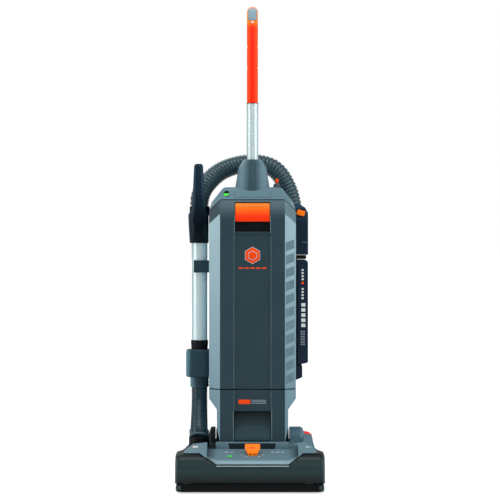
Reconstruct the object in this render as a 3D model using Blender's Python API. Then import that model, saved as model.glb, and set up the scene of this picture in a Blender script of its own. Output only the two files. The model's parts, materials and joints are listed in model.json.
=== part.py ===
"""An upright commercial vacuum cleaner: a brush head on wheels, and an upright that reclines on it.

Metres, +Z up, the front faces -Y. Each named object is one separate piece, and the pieces of a moving
group hang from an empty on that group's axis. All dimensions are taken from the point on the floor under
the middle of the recline axis. The empty that holds everything is then moved, so that the origin is the
middle of the footprint.
"""

import math

import bmesh
import bpy
from mathutils import Matrix, Vector

# ---- driving dimensions -------------------------------------------------------------------------

GAP = 0.0004  # clearance between pieces that touch
WALL = 0.0035  # moulded casings
RUN = 0.0004  # clearance round a turning shaft

PIVOT_Y, PIVOT_Z = 0.0, 0.105  # recline axis, along X
PIN_R = 0.006

BODY_HALF = 0.105
BODY_FRONT, BODY_REAR = -0.095, 0.075
FACE_HALF = 0.0775  # the flat front, between the two side chamfers
CHAMFER_Y = -0.066  # where a side chamfer meets the side
STRIP_HALF, STRIP_DEPTH = 0.044, 0.0016  # shallow strip down the middle of the front
DOOR_REAR = -0.050
HOUSING_FRONT = -0.0464  # the seal fills the space between this and the door
SEAM = 0.238  # between the bag door and the motor housing
SEAM_GAP = 0.0026
TOP = 0.727
CAP_Z, CAP_SIDE_Z = 0.6945, 0.668  # lower edge of the top cap, at the middle and at the sides
WAIST_HALF = 0.086
FOOT_Z = 0.113  # lower front edge of the upright; below it only the drum round the recline axis is left
DRUM_R = 0.062
CAP_SLOPE = (CAP_Z - CAP_SIDE_Z) / (BODY_HALF - FACE_HALF)
POCKET_DEPTH = 0.008

INLET_Z, INLET_R = 0.620, 0.017  # air inlet of the filter bag, through the right wall
MOTOR_LOW, MOTOR_HIGH = 0.127, 0.198
FAN_Y, FAN_Z, FAN_SHAFT_R = 0.002, 0.2035, 0.004

TUBE_Y, TUBE_R = 0.022, 0.0143  # handle tube
NECK_TOP, GRIP_START, GRIP_TOP = 0.795, 0.934, 1.174
GRIP_HALF = 0.0136
GRIP_LEAN = 0.030  # the top of the grip leans this far towards the user
SWITCH_LOW, SWITCH_HIGH, SWITCH_HALF = 1.140, 1.170, 0.0105
TOGGLE = (0.0597, 0.0, TOP)

SIDE_X = BODY_HALF + GAP  # inner face of what is screwed to the body's sides
NAVY_X = 0.135
NAVY_Y0, NAVY_Y1 = -0.045, 0.055
ELBOW = (0.103, 0.105)  # the elbow that takes the hose, behind the body's corner
ELBOW_R = 0.0275
HOSE_END_Z = 0.642
COVER_X0, COVER_Z0, COVER_Z1 = 0.1084, 0.2935, 0.550
DUCT_TOP = 0.2920

WAND_X, WAND_Y, WAND_R = -0.1296, -0.005, 0.0193
CUP_R, CUP_LOW, CUP_HIGH = 0.033, 0.265, 0.330
HOSE_R, HOSE_BORE = 0.0235, 0.0195
LOWER_HOSE_R, LOWER_HOSE_BORE = 0.0200, 0.0165
CLIP_LOW, CLIP_HIGH = 0.518, 0.548
TUBE_LOW, TUBE_HIGH = 0.285, 0.618  # ends of the wand tube
WAND_HOSE = (-0.130, 0.030, 0.664)  # where the hose leaves the wand handle
LEFT_TOP = 0.0965  # top of the chassis's left box
PORT = (-0.1296, -0.0500, LEFT_TOP + GAP)  # foot of the port on the head
PORT_TOP = 0.1214

CORD_Y0, CORD_Y1 = 0.081, 0.105
HOOK_UPPER_Z, HOOK_LOWER_Z = 0.552, 0.258
HOOK_REACH = 0.109
HOOK_R = 0.013

HEAD_LEFT, HEAD_RIGHT = -0.1825, 0.1705
HEAD_FRONT = -0.190
BRUSH_Y, BRUSH_Z, BRUSH_TIP = -0.140, 0.038, 0.0325
BELT_X0, BELT_X1 = 0.1445, 0.1545
MOTOR_Y, MOTOR_Z = -0.080, 0.0555
BRUSH_PULLEY_R, MOTOR_PULLEY_R = 0.020, 0.010
BELT_THICK = 0.0022
AXLE_Y, WHEEL_R = 0.066, 0.038
AXLE_Z, AXLE_R = WHEEL_R, 0.0040
CARRIAGE_PIVOT = (-0.020, 0.0160)  # y and z
FRONT_WHEEL_Y, FRONT_WHEEL_R = -0.082, 0.014
KNOB = (0.0, -0.138, 0.0895)  # middle of the dial's lower face, just above the sloping tray
KNOB_TILT = math.radians(13)

HEAD_LOW = 0.024
BASE_FRONT = -0.104
EAR_INNER = 0.0905
EAR_R = 0.0355
WELLS = ((-0.154, -0.126), (0.122, 0.150))  # x ranges of the two rear wheel wells
PEDAL_X0, PEDAL_X1 = 0.1275, 0.1472
PEDAL_PIVOT = (0.137, 0.024, 0.090)

DOOR_HINGE = (0.0, -0.0925, 0.2405)
LATCH_HINGE = (0.0, -0.0785, 0.6825)
COVER_HINGE = (COVER_X0, 0.0, COVER_Z0)

# ---- materials: base colour, roughness, metallic ------------------------------------------------

FINISHES = {
    "slate_plastic": ((0.050, 0.072, 0.082), 0.45, 0.0),
    "grey_plastic": ((0.180, 0.245, 0.270), 0.50, 0.0),
    "dark_hood": ((0.030, 0.045, 0.045), 0.25, 0.0),
    "black_plastic": ((0.012, 0.014, 0.018), 0.40, 0.0),
    "navy_plastic": ((0.012, 0.025, 0.050), 0.35, 0.0),
    "orange_plastic": ((0.900, 0.130, 0.015), 0.35, 0.0),
    "red_plastic": ((0.700, 0.015, 0.010), 0.35, 0.0),
    "light_grey_plastic": ((0.400, 0.480, 0.520), 0.45, 0.0),
    "aluminium_tube": ((0.760, 0.800, 0.810), 0.28, 1.0),
    "steel": ((0.550, 0.560, 0.580), 0.35, 1.0),
    "rubber": ((0.020, 0.020, 0.022), 0.80, 0.0),
    "green_lens": ((0.050, 0.650, 0.060), 0.20, 0.0),
    "bag_fabric": ((0.780, 0.780, 0.750), 0.90, 0.0),
    "foam": ((0.150, 0.160, 0.170), 0.95, 0.0),
    "filter_media": ((0.850, 0.860, 0.840), 0.90, 0.0),
}


# ---- modelling tools ----------------------------------------------------------------------------


def clear_scene():
    for thing in list(bpy.data.objects):
        bpy.data.objects.remove(thing)


def object_from(bm, name="piece"):
    """A new object holding this bmesh, with its faces turned outwards."""
    bmesh.ops.recalc_face_normals(bm, faces=bm.faces)
    mesh = bpy.data.meshes.new(name)
    bm.to_mesh(mesh)
    bm.free()
    made = bpy.data.objects.new(name, mesh)
    bpy.context.scene.collection.objects.link(made)
    return made


def prism(axis, outline, low, high):
    """An outline across an axis, as (y, z), (x, z) or (x, y), extruded from low to high."""
    order = {"X": (1, 2, 0), "Y": (0, 2, 1), "Z": (0, 1, 2)}[axis]

    def point(a, b, along):
        co = [0.0, 0.0, 0.0]
        for index, value in zip(order, (a, b, along)):
            co[index] = value
        return co

    bm = bmesh.new()
    start = [bm.verts.new(point(a, b, low)) for a, b in outline]
    end = [bm.verts.new(point(a, b, high)) for a, b in outline]
    bm.faces.new(start)
    bm.faces.new(end)
    for i in range(len(outline)):
        j = (i + 1) % len(outline)
        bm.faces.new((start[i], start[j], end[j], end[i]))
    return object_from(bm)


def box(x0, x1, y0, y1, z0, z1):
    return prism("Z", [(x0, y0), (x1, y0), (x1, y1), (x0, y1)], z0, z1)


def lathe(axis, centre, profile, steps=32, ring=False):
    """A profile of (along, radius) turned about an axis through centre. A ring's profile is closed."""
    across = {"X": (1, 2), "Y": (2, 0), "Z": (0, 1)}[axis]
    along = "XYZ".index(axis)
    bm = bmesh.new()
    rows = []
    for place, radius in profile:
        row = []
        for step in range(1 if radius == 0 else steps):
            turn = 2 * math.pi * step / steps
            co = list(centre)
            co[along] += place
            co[across[0]] += radius * math.cos(turn)
            co[across[1]] += radius * math.sin(turn)
            row.append(bm.verts.new(co))
        rows.append(row)
    pairs = list(zip(rows, rows[1:])) + ([(rows[-1], rows[0])] if ring else [])
    for first, second in pairs:
        for i in range(steps):
            j = (i + 1) % steps
            corners = [
                first[i % len(first)], first[j % len(first)], second[j % len(second)],
                second[i % len(second)],
            ]
            corners = [c for n, c in enumerate(corners) if c not in corners[:n]]
            if len(corners) > 2:
                bm.faces.new(corners)
    if not ring:
        for row in (rows[0], rows[-1]):
            if len(row) > 1:
                bm.faces.new(row)
    return object_from(bm)


def rod(axis, centre, radius, low, high, steps=32):
    return lathe(axis, centre, [(low, radius), (high, radius)], steps)


def pipe(axis, centre, bore, radius, low, high, steps=32):
    return lathe(
        axis, centre, [(low, bore), (low, radius), (high, radius), (high, bore)], steps, ring=True
    )


def smooth_path(knots, per_span):
    """A Catmull-Rom curve through the knots."""
    knots = [Vector(k) for k in knots]
    ends = [2 * knots[0] - knots[1], *knots, 2 * knots[-1] - knots[-2]]
    points = []
    for a, b, c, d in zip(ends, ends[1:], ends[2:], ends[3:]):
        for step in range(per_span):
            t = step / per_span
            bend = (2 * a - 5 * b + 4 * c - d) * t**2 + (3 * b - a - 3 * c + d) * t**3
            points.append(0.5 * (2 * b + (c - a) * t + bend))
    return points + [knots[-1]]


def sweep(path, radius, bore=0.0, sides=12):
    """A round tube along a path, with flat ends. It is solid if it has no bore."""
    bm = bmesh.new()
    side = Vector((1, 0, 0))
    rings = []
    for i, point in enumerate(path):
        ahead = (path[min(i + 1, len(path) - 1)] - path[max(i - 1, 0)]).normalized()
        side = (side - side.dot(ahead) * ahead).normalized()
        other = ahead.cross(side)
        turns = [2 * math.pi * k / sides for k in range(sides)]
        rings.append(
            [
                [bm.verts.new(point + r * (math.cos(t) * side + math.sin(t) * other)) for t in turns]
                for r in ([radius, bore] if bore else [radius])
            ]
        )
    for shell in range(len(rings[0])):
        for first, second in zip(rings, rings[1:]):
            for k in range(sides):
                n = (k + 1) % sides
                bm.faces.new((first[shell][k], first[shell][n], second[shell][n], second[shell][k]))
    for end in (rings[0], rings[-1]):
        if bore:
            for k in range(sides):
                n = (k + 1) % sides
                bm.faces.new((end[0][k], end[0][n], end[1][n], end[1][k]))
        else:
            bm.faces.new(end[0])
    return object_from(bm)


def loft(outlines):
    """Closed outlines of equal length, as lists of (x, y, z), joined one to the next and capped."""
    bm = bmesh.new()
    rows = [[bm.verts.new(p) for p in outline] for outline in outlines]
    for first, second in zip(rows, rows[1:]):
        for i in range(len(first)):
            j = (i + 1) % len(first)
            bm.faces.new((first[i], first[j], second[j], second[i]))
    bm.faces.new(rows[0])
    bm.faces.new(rows[-1])
    return object_from(bm)


def combine(body, tool, operation):
    """Applies a Boolean to body at once, and removes the tool."""
    modifier = body.modifiers.new("boolean", "BOOLEAN")
    modifier.operation = operation
    modifier.solver = "EXACT"
    modifier.object = tool
    bpy.context.view_layer.update()
    result = bpy.data.meshes.new_from_object(body.evaluated_get(bpy.context.evaluated_depsgraph_get()))
    body.modifiers.clear()
    body.data = result
    bpy.data.objects.remove(tool)
    return body


def cut(body, *tools):
    for tool in tools:
        combine(body, tool, "DIFFERENCE")
    return body


def join(body, *tools):
    for tool in tools:
        combine(body, tool, "UNION")
    return body


def common(body, *tools):
    for tool in tools:
        combine(body, tool, "INTERSECT")
    return body


def rotated(thing, angle, axis, point):
    thing.data.transform(
        Matrix.Translation(point) @ Matrix.Rotation(angle, 4, axis) @ Matrix.Translation(-Vector(point))
    )
    return thing


def bevelled(thing, width, segments=1, angle=40):
    """Rounds the edges sharper than the angle, by a Bevel modifier that stays on the object."""
    modifier = thing.modifiers.new("rounding", "BEVEL")
    modifier.width = width
    modifier.segments = segments
    modifier.limit_method = "ANGLE"
    modifier.angle_limit = math.radians(angle)
    return thing


def inset(outline, distance):
    """An outline moved inwards by a distance, or outwards if it is negative, with mitred corners."""
    area = sum(a[0] * b[1] - b[0] * a[1] for a, b in zip(outline, outline[1:] + outline[:1]))
    turn = 1 if area > 0 else -1
    moved = []
    for before, here, after in zip(outline[-1:] + outline[:-1], outline, outline[1:] + outline[:1]):
        first = (Vector(here) - Vector(before)).normalized()
        second = (Vector(after) - Vector(here)).normalized()
        normals = [Vector((-d.y, d.x)) * turn for d in (first, second)]
        middle = (normals[0] + normals[1]).normalized()
        moved.append(tuple(Vector(here) + middle * distance / middle.dot(normals[0])))
    return moved


def arc(centre, radius, start, end, steps):
    """Points round a centre, from a start to an end angle in degrees."""
    angles = [math.radians(start + (end - start) * i / steps) for i in range(steps + 1)]
    return [(centre[0] + radius * math.cos(a), centre[1] + radius * math.sin(a)) for a in angles]


def mirrored(half):
    """A symmetric outline from its right half, listed from bottom to top."""
    return half + [(-x, z) for x, z in reversed(half)]


# ---- placing and naming -------------------------------------------------------------------------


def finish_material(slot):
    made = bpy.data.materials.get(slot)
    if made is None:
        colour, roughness, metallic = FINISHES[slot]
        made = bpy.data.materials.new(slot)
        made.use_nodes = True
        shader = made.node_tree.nodes["Principled BSDF"]
        shader.inputs["Base Color"].default_value = (*colour, 1.0)
        shader.inputs["Roughness"].default_value = roughness
        shader.inputs["Metallic"].default_value = metallic
    return made


def joint_empty(name, point, parent=None):
    """An empty on a joint's axis, which that joint's pieces hang from."""
    made = bpy.data.objects.new(name, None)
    bpy.context.scene.collection.objects.link(made)
    made["place"] = list(point)
    made.parent = parent
    made.location = Vector(point) - (Vector(parent["place"]) if parent else Vector())
    return made


def node(name, thing, slot, parent):
    """Names a piece, gives it its material, and hangs it from its group's empty with its origin there."""
    thing.name = name
    thing.data.name = name
    thing.data.transform(Matrix.Translation(-Vector(parent["place"])))
    thing.parent = parent
    thing.data.materials.clear()
    thing.data.materials.append(finish_material(slot))
    for face in thing.data.polygons:
        face.material_index = 0
    thing.data.shade_smooth()
    thing.data.set_sharp_from_angle(angle=math.radians(35))
    return thing


# ---- the upright's casings ----------------------------------------------------------------------


def body_front_outline():
    """The upright from the front, in x and z."""
    foot = [
        (0.079, 0.030), (0.079, 0.115), (WAIST_HALF, 0.147), (WAIST_HALF, 0.1895), (BODY_HALF, 0.214)
    ]
    shoulder = [(BODY_HALF, 0.657), (0.1035, 0.672), (0.099, 0.687), (0.072, 0.7235), (0.065, TOP)]
    return mirrored(foot + shoulder)


def body_side_outline():
    """The upright from the side, in y and z: a curved top, straight faces and a round drum below."""
    front = [(BODY_FRONT, FOOT_Z), (BODY_FRONT, 0.655), (-0.088, 0.678), (-0.070, 0.697)]
    crown = [
        (-0.045, 0.716), (-0.020, 0.7255), (0.0, TOP), (0.050, TOP), (0.064, 0.722), (0.071, 0.708)
    ]
    rear = [(BODY_REAR, 0.690), (BODY_REAR, FOOT_Z)]
    turn = math.degrees(math.asin((FOOT_Z - PIVOT_Z) / DRUM_R))
    return front + crown + rear + arc((PIVOT_Y, PIVOT_Z), DRUM_R, turn, -180 - turn, 14)


def body_plan_outline():
    """The upright from above, in x and y, with the two side chamfers at the front."""
    rear = [(BODY_HALF, 0.055), (0.099, 0.069), (0.085, BODY_REAR)]
    return mirrored([(FACE_HALF, BODY_FRONT), (BODY_HALF, CHAMFER_Y)] + rear)


def envelope(shrink=0.0):
    """The whole outer shape of the upright, moved inwards by a distance."""
    side = prism("X", inset(body_side_outline(), shrink), -0.2, 0.2)
    plan = prism("Z", inset(body_plan_outline(), shrink), 0.0, 0.8)
    return common(prism("Y", inset(body_front_outline(), shrink), -0.2, 0.2), side, plan)


def skin(outer, inner, x_half, z0, z1, rear=-0.03):
    """A patch of the front of the upright, between two depths under its surface."""
    patch = common(envelope(outer), box(-x_half, x_half, -0.12, rear, z0, z1))
    return cut(patch, envelope(inner))


def cap_line(rise):
    """The lower edge of the top cap: level in the middle, then down to both sides."""
    reach = 0.130
    side_z = CAP_Z - (reach - FACE_HALF) * CAP_SLOPE
    return [
        (-reach, side_z + rise), (-FACE_HALF, CAP_Z + rise), (FACE_HALF, CAP_Z + rise),
        (reach, side_z + rise),
    ]


def bag_space(shrink, y0, y1):
    """The height of the bag compartment, from the seam up to the top cap."""
    low = SEAM + SEAM_GAP / 2 + shrink
    return prism("Y", [(0.130, low), (-0.130, low)] + cap_line(-0.0012 - shrink), y0, y1)


def strip_cut(z0, z1):
    return box(-STRIP_HALF, STRIP_HALF, -0.12, BODY_FRONT + STRIP_DEPTH, z0, z1)


def bag_door():
    door = common(envelope(), bag_space(0.0, -0.2, DOOR_REAR))
    cut(door, common(envelope(WALL), bag_space(WALL, -0.2, 0.2)))
    join(door, skin(0.001, 0.0125, 0.047, 0.612, 0.6905))
    cut(door, strip_cut(0.2, 0.612), skin(-0.010, 0.0088, 0.0423, 0.617, 0.6882))
    return door


def door_latch():
    return skin(-0.0012, 0.0060, 0.0415, 0.641, 0.6858)


def bag_housing():
    housing = common(envelope(), bag_space(0.0, HOUSING_FRONT, 0.2))
    cut(housing, common(envelope(WALL), bag_space(WALL, -0.2, 0.2)))
    return cut(
        housing,
        rod("X", (0, 0, INLET_Z), INLET_R + 0.0015, 0.09, 0.12),
        rod("Z", (0, 0.01, 0), 0.03, 0.2, 0.26),
    )


def door_seal():
    seal = common(envelope(0.0006), bag_space(0.0006, DOOR_REAR + GAP, HOUSING_FRONT - GAP))
    return cut(seal, common(envelope(0.006), bag_space(0.006, -0.2, 0.2)))


def top_cap():
    above = prism("Y", cap_line(0.0006) + [(0.130, 0.8), (-0.130, 0.8)], -0.2, 0.2)
    return cut(common(envelope(), above), envelope(WALL))


def lower_housing():
    below = box(-0.2, 0.2, -0.2, 0.2, 0.0, SEAM - SEAM_GAP / 2)
    housing = cut(common(envelope(), below), envelope(WALL))
    join(housing, skin(0.001, POCKET_DEPTH + WALL, 0.0485, FOOT_Z + 0.001, 0.190, -0.0832))
    cut(
        housing, strip_cut(0.186, 0.3), skin(-0.010, POCKET_DEPTH, 0.045, FOOT_Z - 0.01, 0.186, -0.0867)
    )
    for side in (-1, 1):
        join(
            housing, rod("X", (0, PIVOT_Y, PIVOT_Z), 0.016, *sorted((side * 0.0765, side * 0.0875)), 24)
        )
    return cut(housing, rod("X", (0, PIVOT_Y, PIVOT_Z), PIN_R + GAP, -0.12, 0.12, 24))


# ---- inside the upright -------------------------------------------------------------------------


def filter_bag():
    """A gusseted bag with one round opening, a little slack inside the compartment."""

    def block(shrink):
        plan = [(0.055, -0.083), (0.087, -0.054), (0.087, 0.062)]
        return prism("Z", inset(mirrored(plan), shrink), 0.262 + shrink, 0.668 - shrink)

    bag = cut(block(0.0), block(0.002), rod("X", (0, 0, INLET_Z), INLET_R, 0.08, 0.1, 24))
    under_door = [
        (-0.1, 0.25), (-0.048, 0.25), (-0.048, 0.264), (-0.054, 0.278), (-0.066, 0.286), (-0.1, 0.290)
    ]
    return cut(bag, box(-0.06, 0.06, -0.1, -0.0775, 0.600, 0.7), prism("X", under_door, -0.1, 0.1))


def bag_collar():
    plate = box(0.0876, 0.0906, -0.040, 0.040, 0.572, 0.656)
    return cut(plate, rod("X", (0, 0, INLET_Z), INLET_R + 0.0008, 0.08, 0.1, 24))


def pre_filter():
    return box(-0.090, 0.090, -0.042, 0.064, 0.2436, 0.2550)


def vacuum_motor():
    """The motor with its shaft standing up."""
    steps = [
        (MOTOR_LOW, 0.036), (MOTOR_LOW + 0.006, 0.041), (MOTOR_HIGH - 0.006, 0.041), (MOTOR_HIGH, 0.034)
    ]
    return lathe("Z", (0, FAN_Y, 0), steps + [(MOTOR_HIGH, FAN_SHAFT_R), (0.216, FAN_SHAFT_R)], 28)


def motor_fan():
    """The suction fan: a disc on a hub, with blades on the disc."""
    fan = pipe("Z", (0, FAN_Y, 0), FAN_SHAFT_R + RUN, 0.036, FAN_Z, FAN_Z + 0.0025, 28)
    join(fan, pipe("Z", (0, FAN_Y, 0), FAN_SHAFT_R + RUN, 0.010, FAN_Z + 0.002, FAN_Z + 0.012, 16))
    for blade in range(7):
        vane = box(0.0085, 0.0345, 0.0012, 0.0028, 0.2055, 0.2140)
        join(fan, rotated(vane, 2 * math.pi * blade / 7, "Z", (0, FAN_Y, 0)))
    return fan


def motor_cradle():
    plate = box(-0.0752, 0.0752, -0.082, 0.071, 0.1206, MOTOR_LOW - GAP)
    return cut(plate, rod("Z", (0, FAN_Y, 0), 0.022, 0.1, 0.2, 24))


# ---- handle -------------------------------------------------------------------------------------


def ellipse(x_half, y_half, y_centre, z, steps=28):
    turns = [2 * math.pi * i / steps for i in range(steps)]
    return [(x_half * math.cos(t), y_centre + y_half * math.sin(t), z) for t in turns]


def handle_socket():
    """The cone that holds the handle tube, standing on the top cap."""
    rows = [(0.046, 0.058, 0.010, 0.690), (0.0447, 0.056, 0.010, 0.708), (0.041, 0.049, 0.013, 0.735)]
    rows += [(0.034, 0.036, TUBE_Y - 0.002, 0.777), (0.0224, 0.0230, TUBE_Y, NECK_TOP)]
    cone = loft([ellipse(*row) for row in rows])
    return cut(cone, envelope(-GAP), rod("Z", (0, TUBE_Y, 0), TUBE_R + GAP, 0.70, 0.80))


def handle_tube():
    return pipe("Z", (0, TUBE_Y, 0), TUBE_R - 0.0014, TUBE_R, TOP + 0.001, GRIP_START)


def grip_centre(z):
    """The y of the middle of the grip, which leans back more and more towards its top."""
    return TUBE_Y + GRIP_LEAN * max(0.0, (z - GRIP_START) / (GRIP_TOP - GRIP_START)) ** 2


def handle_grip():
    """A stick grip with a rounded end, and a plug that goes down into the tube."""
    rows = [(0.0124, 0.0124, TUBE_Y, 0.905), (0.0124, 0.0124, TUBE_Y, GRIP_START + GAP)]
    for z in (GRIP_START + GAP, 0.980, 1.030, 1.080, 1.120, 1.150):
        rows.append((GRIP_HALF, GRIP_HALF + 0.003, grip_centre(z), z))
    for part in (0.35, 0.65, 0.88, 0.99):
        z = 1.150 + (GRIP_TOP - 1.150) * part
        size = math.sqrt(1 - part**3)
        rows.append((GRIP_HALF * size, (GRIP_HALF + 0.003) * size, grip_centre(z), z))
    grip = loft([ellipse(*row, steps=24) for row in rows])
    pocket = box(-SWITCH_HALF - GAP, SWITCH_HALF + GAP, 0.0, 0.040, SWITCH_LOW - GAP, SWITCH_HIGH + GAP)
    return cut(grip, pocket)


def power_switch():
    """A rocker in the front of the grip, that is pressed inwards."""
    face = [(0.0290, SWITCH_LOW), (0.0285, 1.150), (0.0305, 1.162), (0.0345, SWITCH_HIGH)]
    rocker = prism("X", face + [(0.0370, SWITCH_HIGH), (0.0370, SWITCH_LOW)], -SWITCH_HALF, SWITCH_HALF)
    return bevelled(rocker, 0.0012)


def toggle_boot():
    return lathe(
        "Z", TOGGLE, [(0.0004, 0.005), (0.0004, 0.0095), (0.009, 0.0065), (0.009, 0.005)], 20, ring=True
    )


def mode_toggle():
    steps = [(0.0012, 0.0022), (0.0105, 0.0022), (0.0115, 0.0040), (0.0185, 0.0044), (0.0205, 0.0030)]
    return lathe("Z", TOGGLE, steps, 16)


def bag_indicator():
    lens = common(envelope(-0.0018), rod("Y", (-0.0628, 0, 0.709), 0.0075, -0.09, -0.03, 20))
    return cut(lens, envelope(-GAP))


# ---- the right side -----------------------------------------------------------------------------


def hose_connector():
    """A duct on the right side, with an elbow behind that the hose plugs down into."""
    outline = [
        (SIDE_X, 0.5614), (NAVY_X, 0.5614), (NAVY_X, 0.663), (0.128, 0.676), (0.113, 0.685),
        (SIDE_X, 0.685),
    ]
    duct = prism("Y", outline, NAVY_Y0, NAVY_Y1)
    join(duct, box(SIDE_X, 0.1335, 0.05, ELBOW[1], 0.580, 0.632))
    join(duct, rod("Z", (*ELBOW, 0), ELBOW_R, 0.580, 0.652, 28))
    cut(duct, rod("Z", (*ELBOW, 0), HOSE_R + 0.0012, HOSE_END_Z - 0.001, 0.7, 28))
    cut(
        duct,
        rod("Z", (*ELBOW, 0), 0.018, 0.590, 0.7, 24),
        rod("Y", (0.1185, 0, 0.608), 0.011, -0.01, 0.09, 20),
    )
    join(duct, rod("X", (0, 0, INLET_Z), INLET_R, 0.0912, SIDE_X + 0.002, 24))
    cut(duct, rod("X", (0, 0, INLET_Z), INLET_R - 0.003, 0.08, 0.125, 24))
    return cut(duct, box(0.1070, 0.1275, NAVY_Y0 - 0.01, NAVY_Y0 + 0.011, 0.654, 0.6730))


def hose_button():
    outline = [(0.1076, 0.6546), (0.1269, 0.6546), (0.1269, 0.6690), (0.1235, 0.6724), (0.1076, 0.6724)]
    return bevelled(prism("Y", outline, NAVY_Y0 - 0.0025, NAVY_Y0 + 0.0065), 0.001)


def filter_frame():
    """The back plate of the HEPA filter's compartment, with a head that the cover latches to."""
    plate = box(SIDE_X, COVER_X0 - GAP, NAVY_Y0 + 0.001, NAVY_Y1 - 0.001, 0.2928, 0.5606)
    join(plate, box(SIDE_X, 0.1305, NAVY_Y0 + 0.004, NAVY_Y1 - 0.004, 0.5510, 0.5606))
    return cut(plate, box(0.1, 0.12, -0.03, 0.04, 0.315, 0.530))


def filter_duct():
    """The duct that leads exhaust air from the motor housing up to the filter."""
    outline = [(SIDE_X, 0.2575), (0.121, 0.2640), (0.121, DUCT_TOP), (SIDE_X, DUCT_TOP)]
    duct = prism("Y", outline, NAVY_Y0, NAVY_Y1)
    hollow = [(SIDE_X + 0.002, 0.2610), (0.1185, 0.2668), (0.1185, 0.30), (SIDE_X + 0.002, 0.30)]
    cut(duct, prism("Y", hollow, NAVY_Y0 + 0.0025, NAVY_Y1 - 0.0025))
    return bevelled(duct, 0.0012)


def cover_outline(shrink):
    low = [(COVER_X0, COVER_Z0 + shrink), (NAVY_X - shrink, 0.2995 + shrink)]
    return low + [
        (NAVY_X - shrink, COVER_Z1 - 0.006 - shrink), (NAVY_X - 0.006, COVER_Z1 - shrink),
        (COVER_X0, COVER_Z1 - shrink),
    ]


def filter_cover():
    cover = prism("Y", cover_outline(0.0), NAVY_Y0, NAVY_Y1)
    inner = [(x - 0.003 if x == COVER_X0 else x, z) for x, z in cover_outline(0.0025)]
    return cut(cover, prism("Y", inner, NAVY_Y0 + 0.0025, NAVY_Y1 - 0.0025))


def hepa_filter():
    return box(COVER_X0 + GAP, 0.1305, NAVY_Y0 + 0.004, NAVY_Y1 - 0.004, 0.313, 0.541)


# ---- the left side: wand and hoses ----------------------------------------------------------------


def wand_cup():
    """The holder at the foot of the wand, open right through down to the lower hose."""
    steps = [
        (0.239, 0.0225), (CUP_LOW - 0.002, 0.0225), (CUP_LOW + 0.005, CUP_R), (CUP_HIGH - 0.006, CUP_R)
    ]
    cup = lathe("Z", (WAND_X, WAND_Y, 0), steps + [(CUP_HIGH, CUP_R - 0.006)], 32)
    cut(
        cup,
        box(-SIDE_X, 0.0, -0.1, 0.1, 0.2, 0.4),
        rod("Z", (WAND_X, WAND_Y, 0), LOWER_HOSE_BORE, 0.2, 0.4, 24),
    )
    return cut(cup, rod("Z", (WAND_X, WAND_Y, 0), WAND_R + 0.0006, 0.2832, 0.4))


def wand_tube():
    return pipe("Z", (WAND_X, WAND_Y, 0), WAND_R - 0.0014, WAND_R, TUBE_LOW, TUBE_HIGH)


def wand_collar():
    """A tapered rubber ring round the foot of the wand, resting on the cup."""
    outside = [(0.0, 0.0200), (0.0195, 0.0213), (0.0225, 0.0205)]
    bore = [(0.0225, WAND_R + GAP), (0.0, WAND_R + GAP)]
    return lathe("Z", (WAND_X, WAND_Y, CUP_HIGH + GAP), outside + bore, 32, ring=True)


def wand_handle():
    """A cuff that widens to the rear for the hose, with a grip standing on its front."""

    def ring(x_half, y0, y1, z, shift=0.0):
        middle, half = (y0 + y1) / 2, (y1 - y0) / 2
        return [(WAND_X + shift + x, y, z) for x, y, z in ellipse(x_half, half, middle, z, 24)]

    rows = [(0.0230, -0.030, 0.020, 0.590, -0.001), (0.0245, -0.031, 0.032, 0.620, -0.002)]
    cuff = loft([ring(*row) for row in rows + [(0.0252, -0.032, 0.056, 0.664, -0.003)]])
    grip_rows = [
        (0.0149, -0.030, 0.001, 0.655), (0.0135, -0.027, 0.001, 0.700), (0.0112, -0.021, 0.004, 0.765)
    ]
    grip_rows += [(0.0106, -0.018, 0.006, 0.778), (0.0080, -0.014, 0.004, 0.784)]
    join(cuff, loft([ring(*row) for row in grip_rows]))
    cut(cuff, rod("Z", (WAND_X, WAND_Y, 0), WAND_R + GAP, 0.58, TUBE_HIGH + 0.001, 28))
    tilted = smooth_path(
        [(WAND_X, WAND_Y, TUBE_HIGH - 0.002), (WAND_X, 0.010, 0.634), (-0.130, 0.026, 0.652)], 2
    )
    return cut(
        cuff, sweep(tilted, 0.017, sides=16), rod("Z", (*WAND_HOSE[:2], 0), 0.020, 0.650, 0.70, 20)
    )


def wand_clip():
    """A C-shaped clip on the side of the body. The wand slides up through it."""
    clip = box(-0.143, -SIDE_X, WAND_Y - 0.0245, WAND_Y + 0.0245, CLIP_LOW, CLIP_HIGH)
    return bevelled(cut(clip, rod("Z", (WAND_X, WAND_Y, 0), WAND_R + 0.0006, 0.5, 0.6)), 0.001)


def hose():
    """The long hose at rest: up from the wand handle, over the back, and down into the elbow."""
    start = [
        (WAND_HOSE[0], WAND_HOSE[1], WAND_HOSE[2] + 0.0035), (-0.1297, 0.0303, 0.700),
        (-0.1165, 0.046, 0.732),
    ]
    over = [
        (-0.0810, 0.074, 0.7675), (-0.0313, 0.090, 0.7865), (0.0210, 0.095, 0.7883),
        (0.0600, 0.099, 0.7715),
    ]
    end = [(0.0870, 0.103, 0.731), (0.1005, ELBOW[1], 0.684), (*ELBOW, HOSE_END_Z + 0.001)]
    return sweep(smooth_path(start + over + end, 3), HOSE_R, HOSE_BORE, 14)


def lower_hose():
    """The short hose from the foot of the wand down to the port on the head."""
    knots = [
        (WAND_X, WAND_Y, 0.2374), (WAND_X, -0.0065, 0.205), (WAND_X, -0.0245, 0.168),
        (WAND_X, -0.0460, 0.138),
    ]
    return sweep(
        smooth_path(knots + [(PORT[0], PORT[1], PORT[2] + 0.0125)], 3),
        LOWER_HOSE_R,
        LOWER_HOSE_BORE,
        16,
    )


# ---- the back -----------------------------------------------------------------------------------


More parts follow.
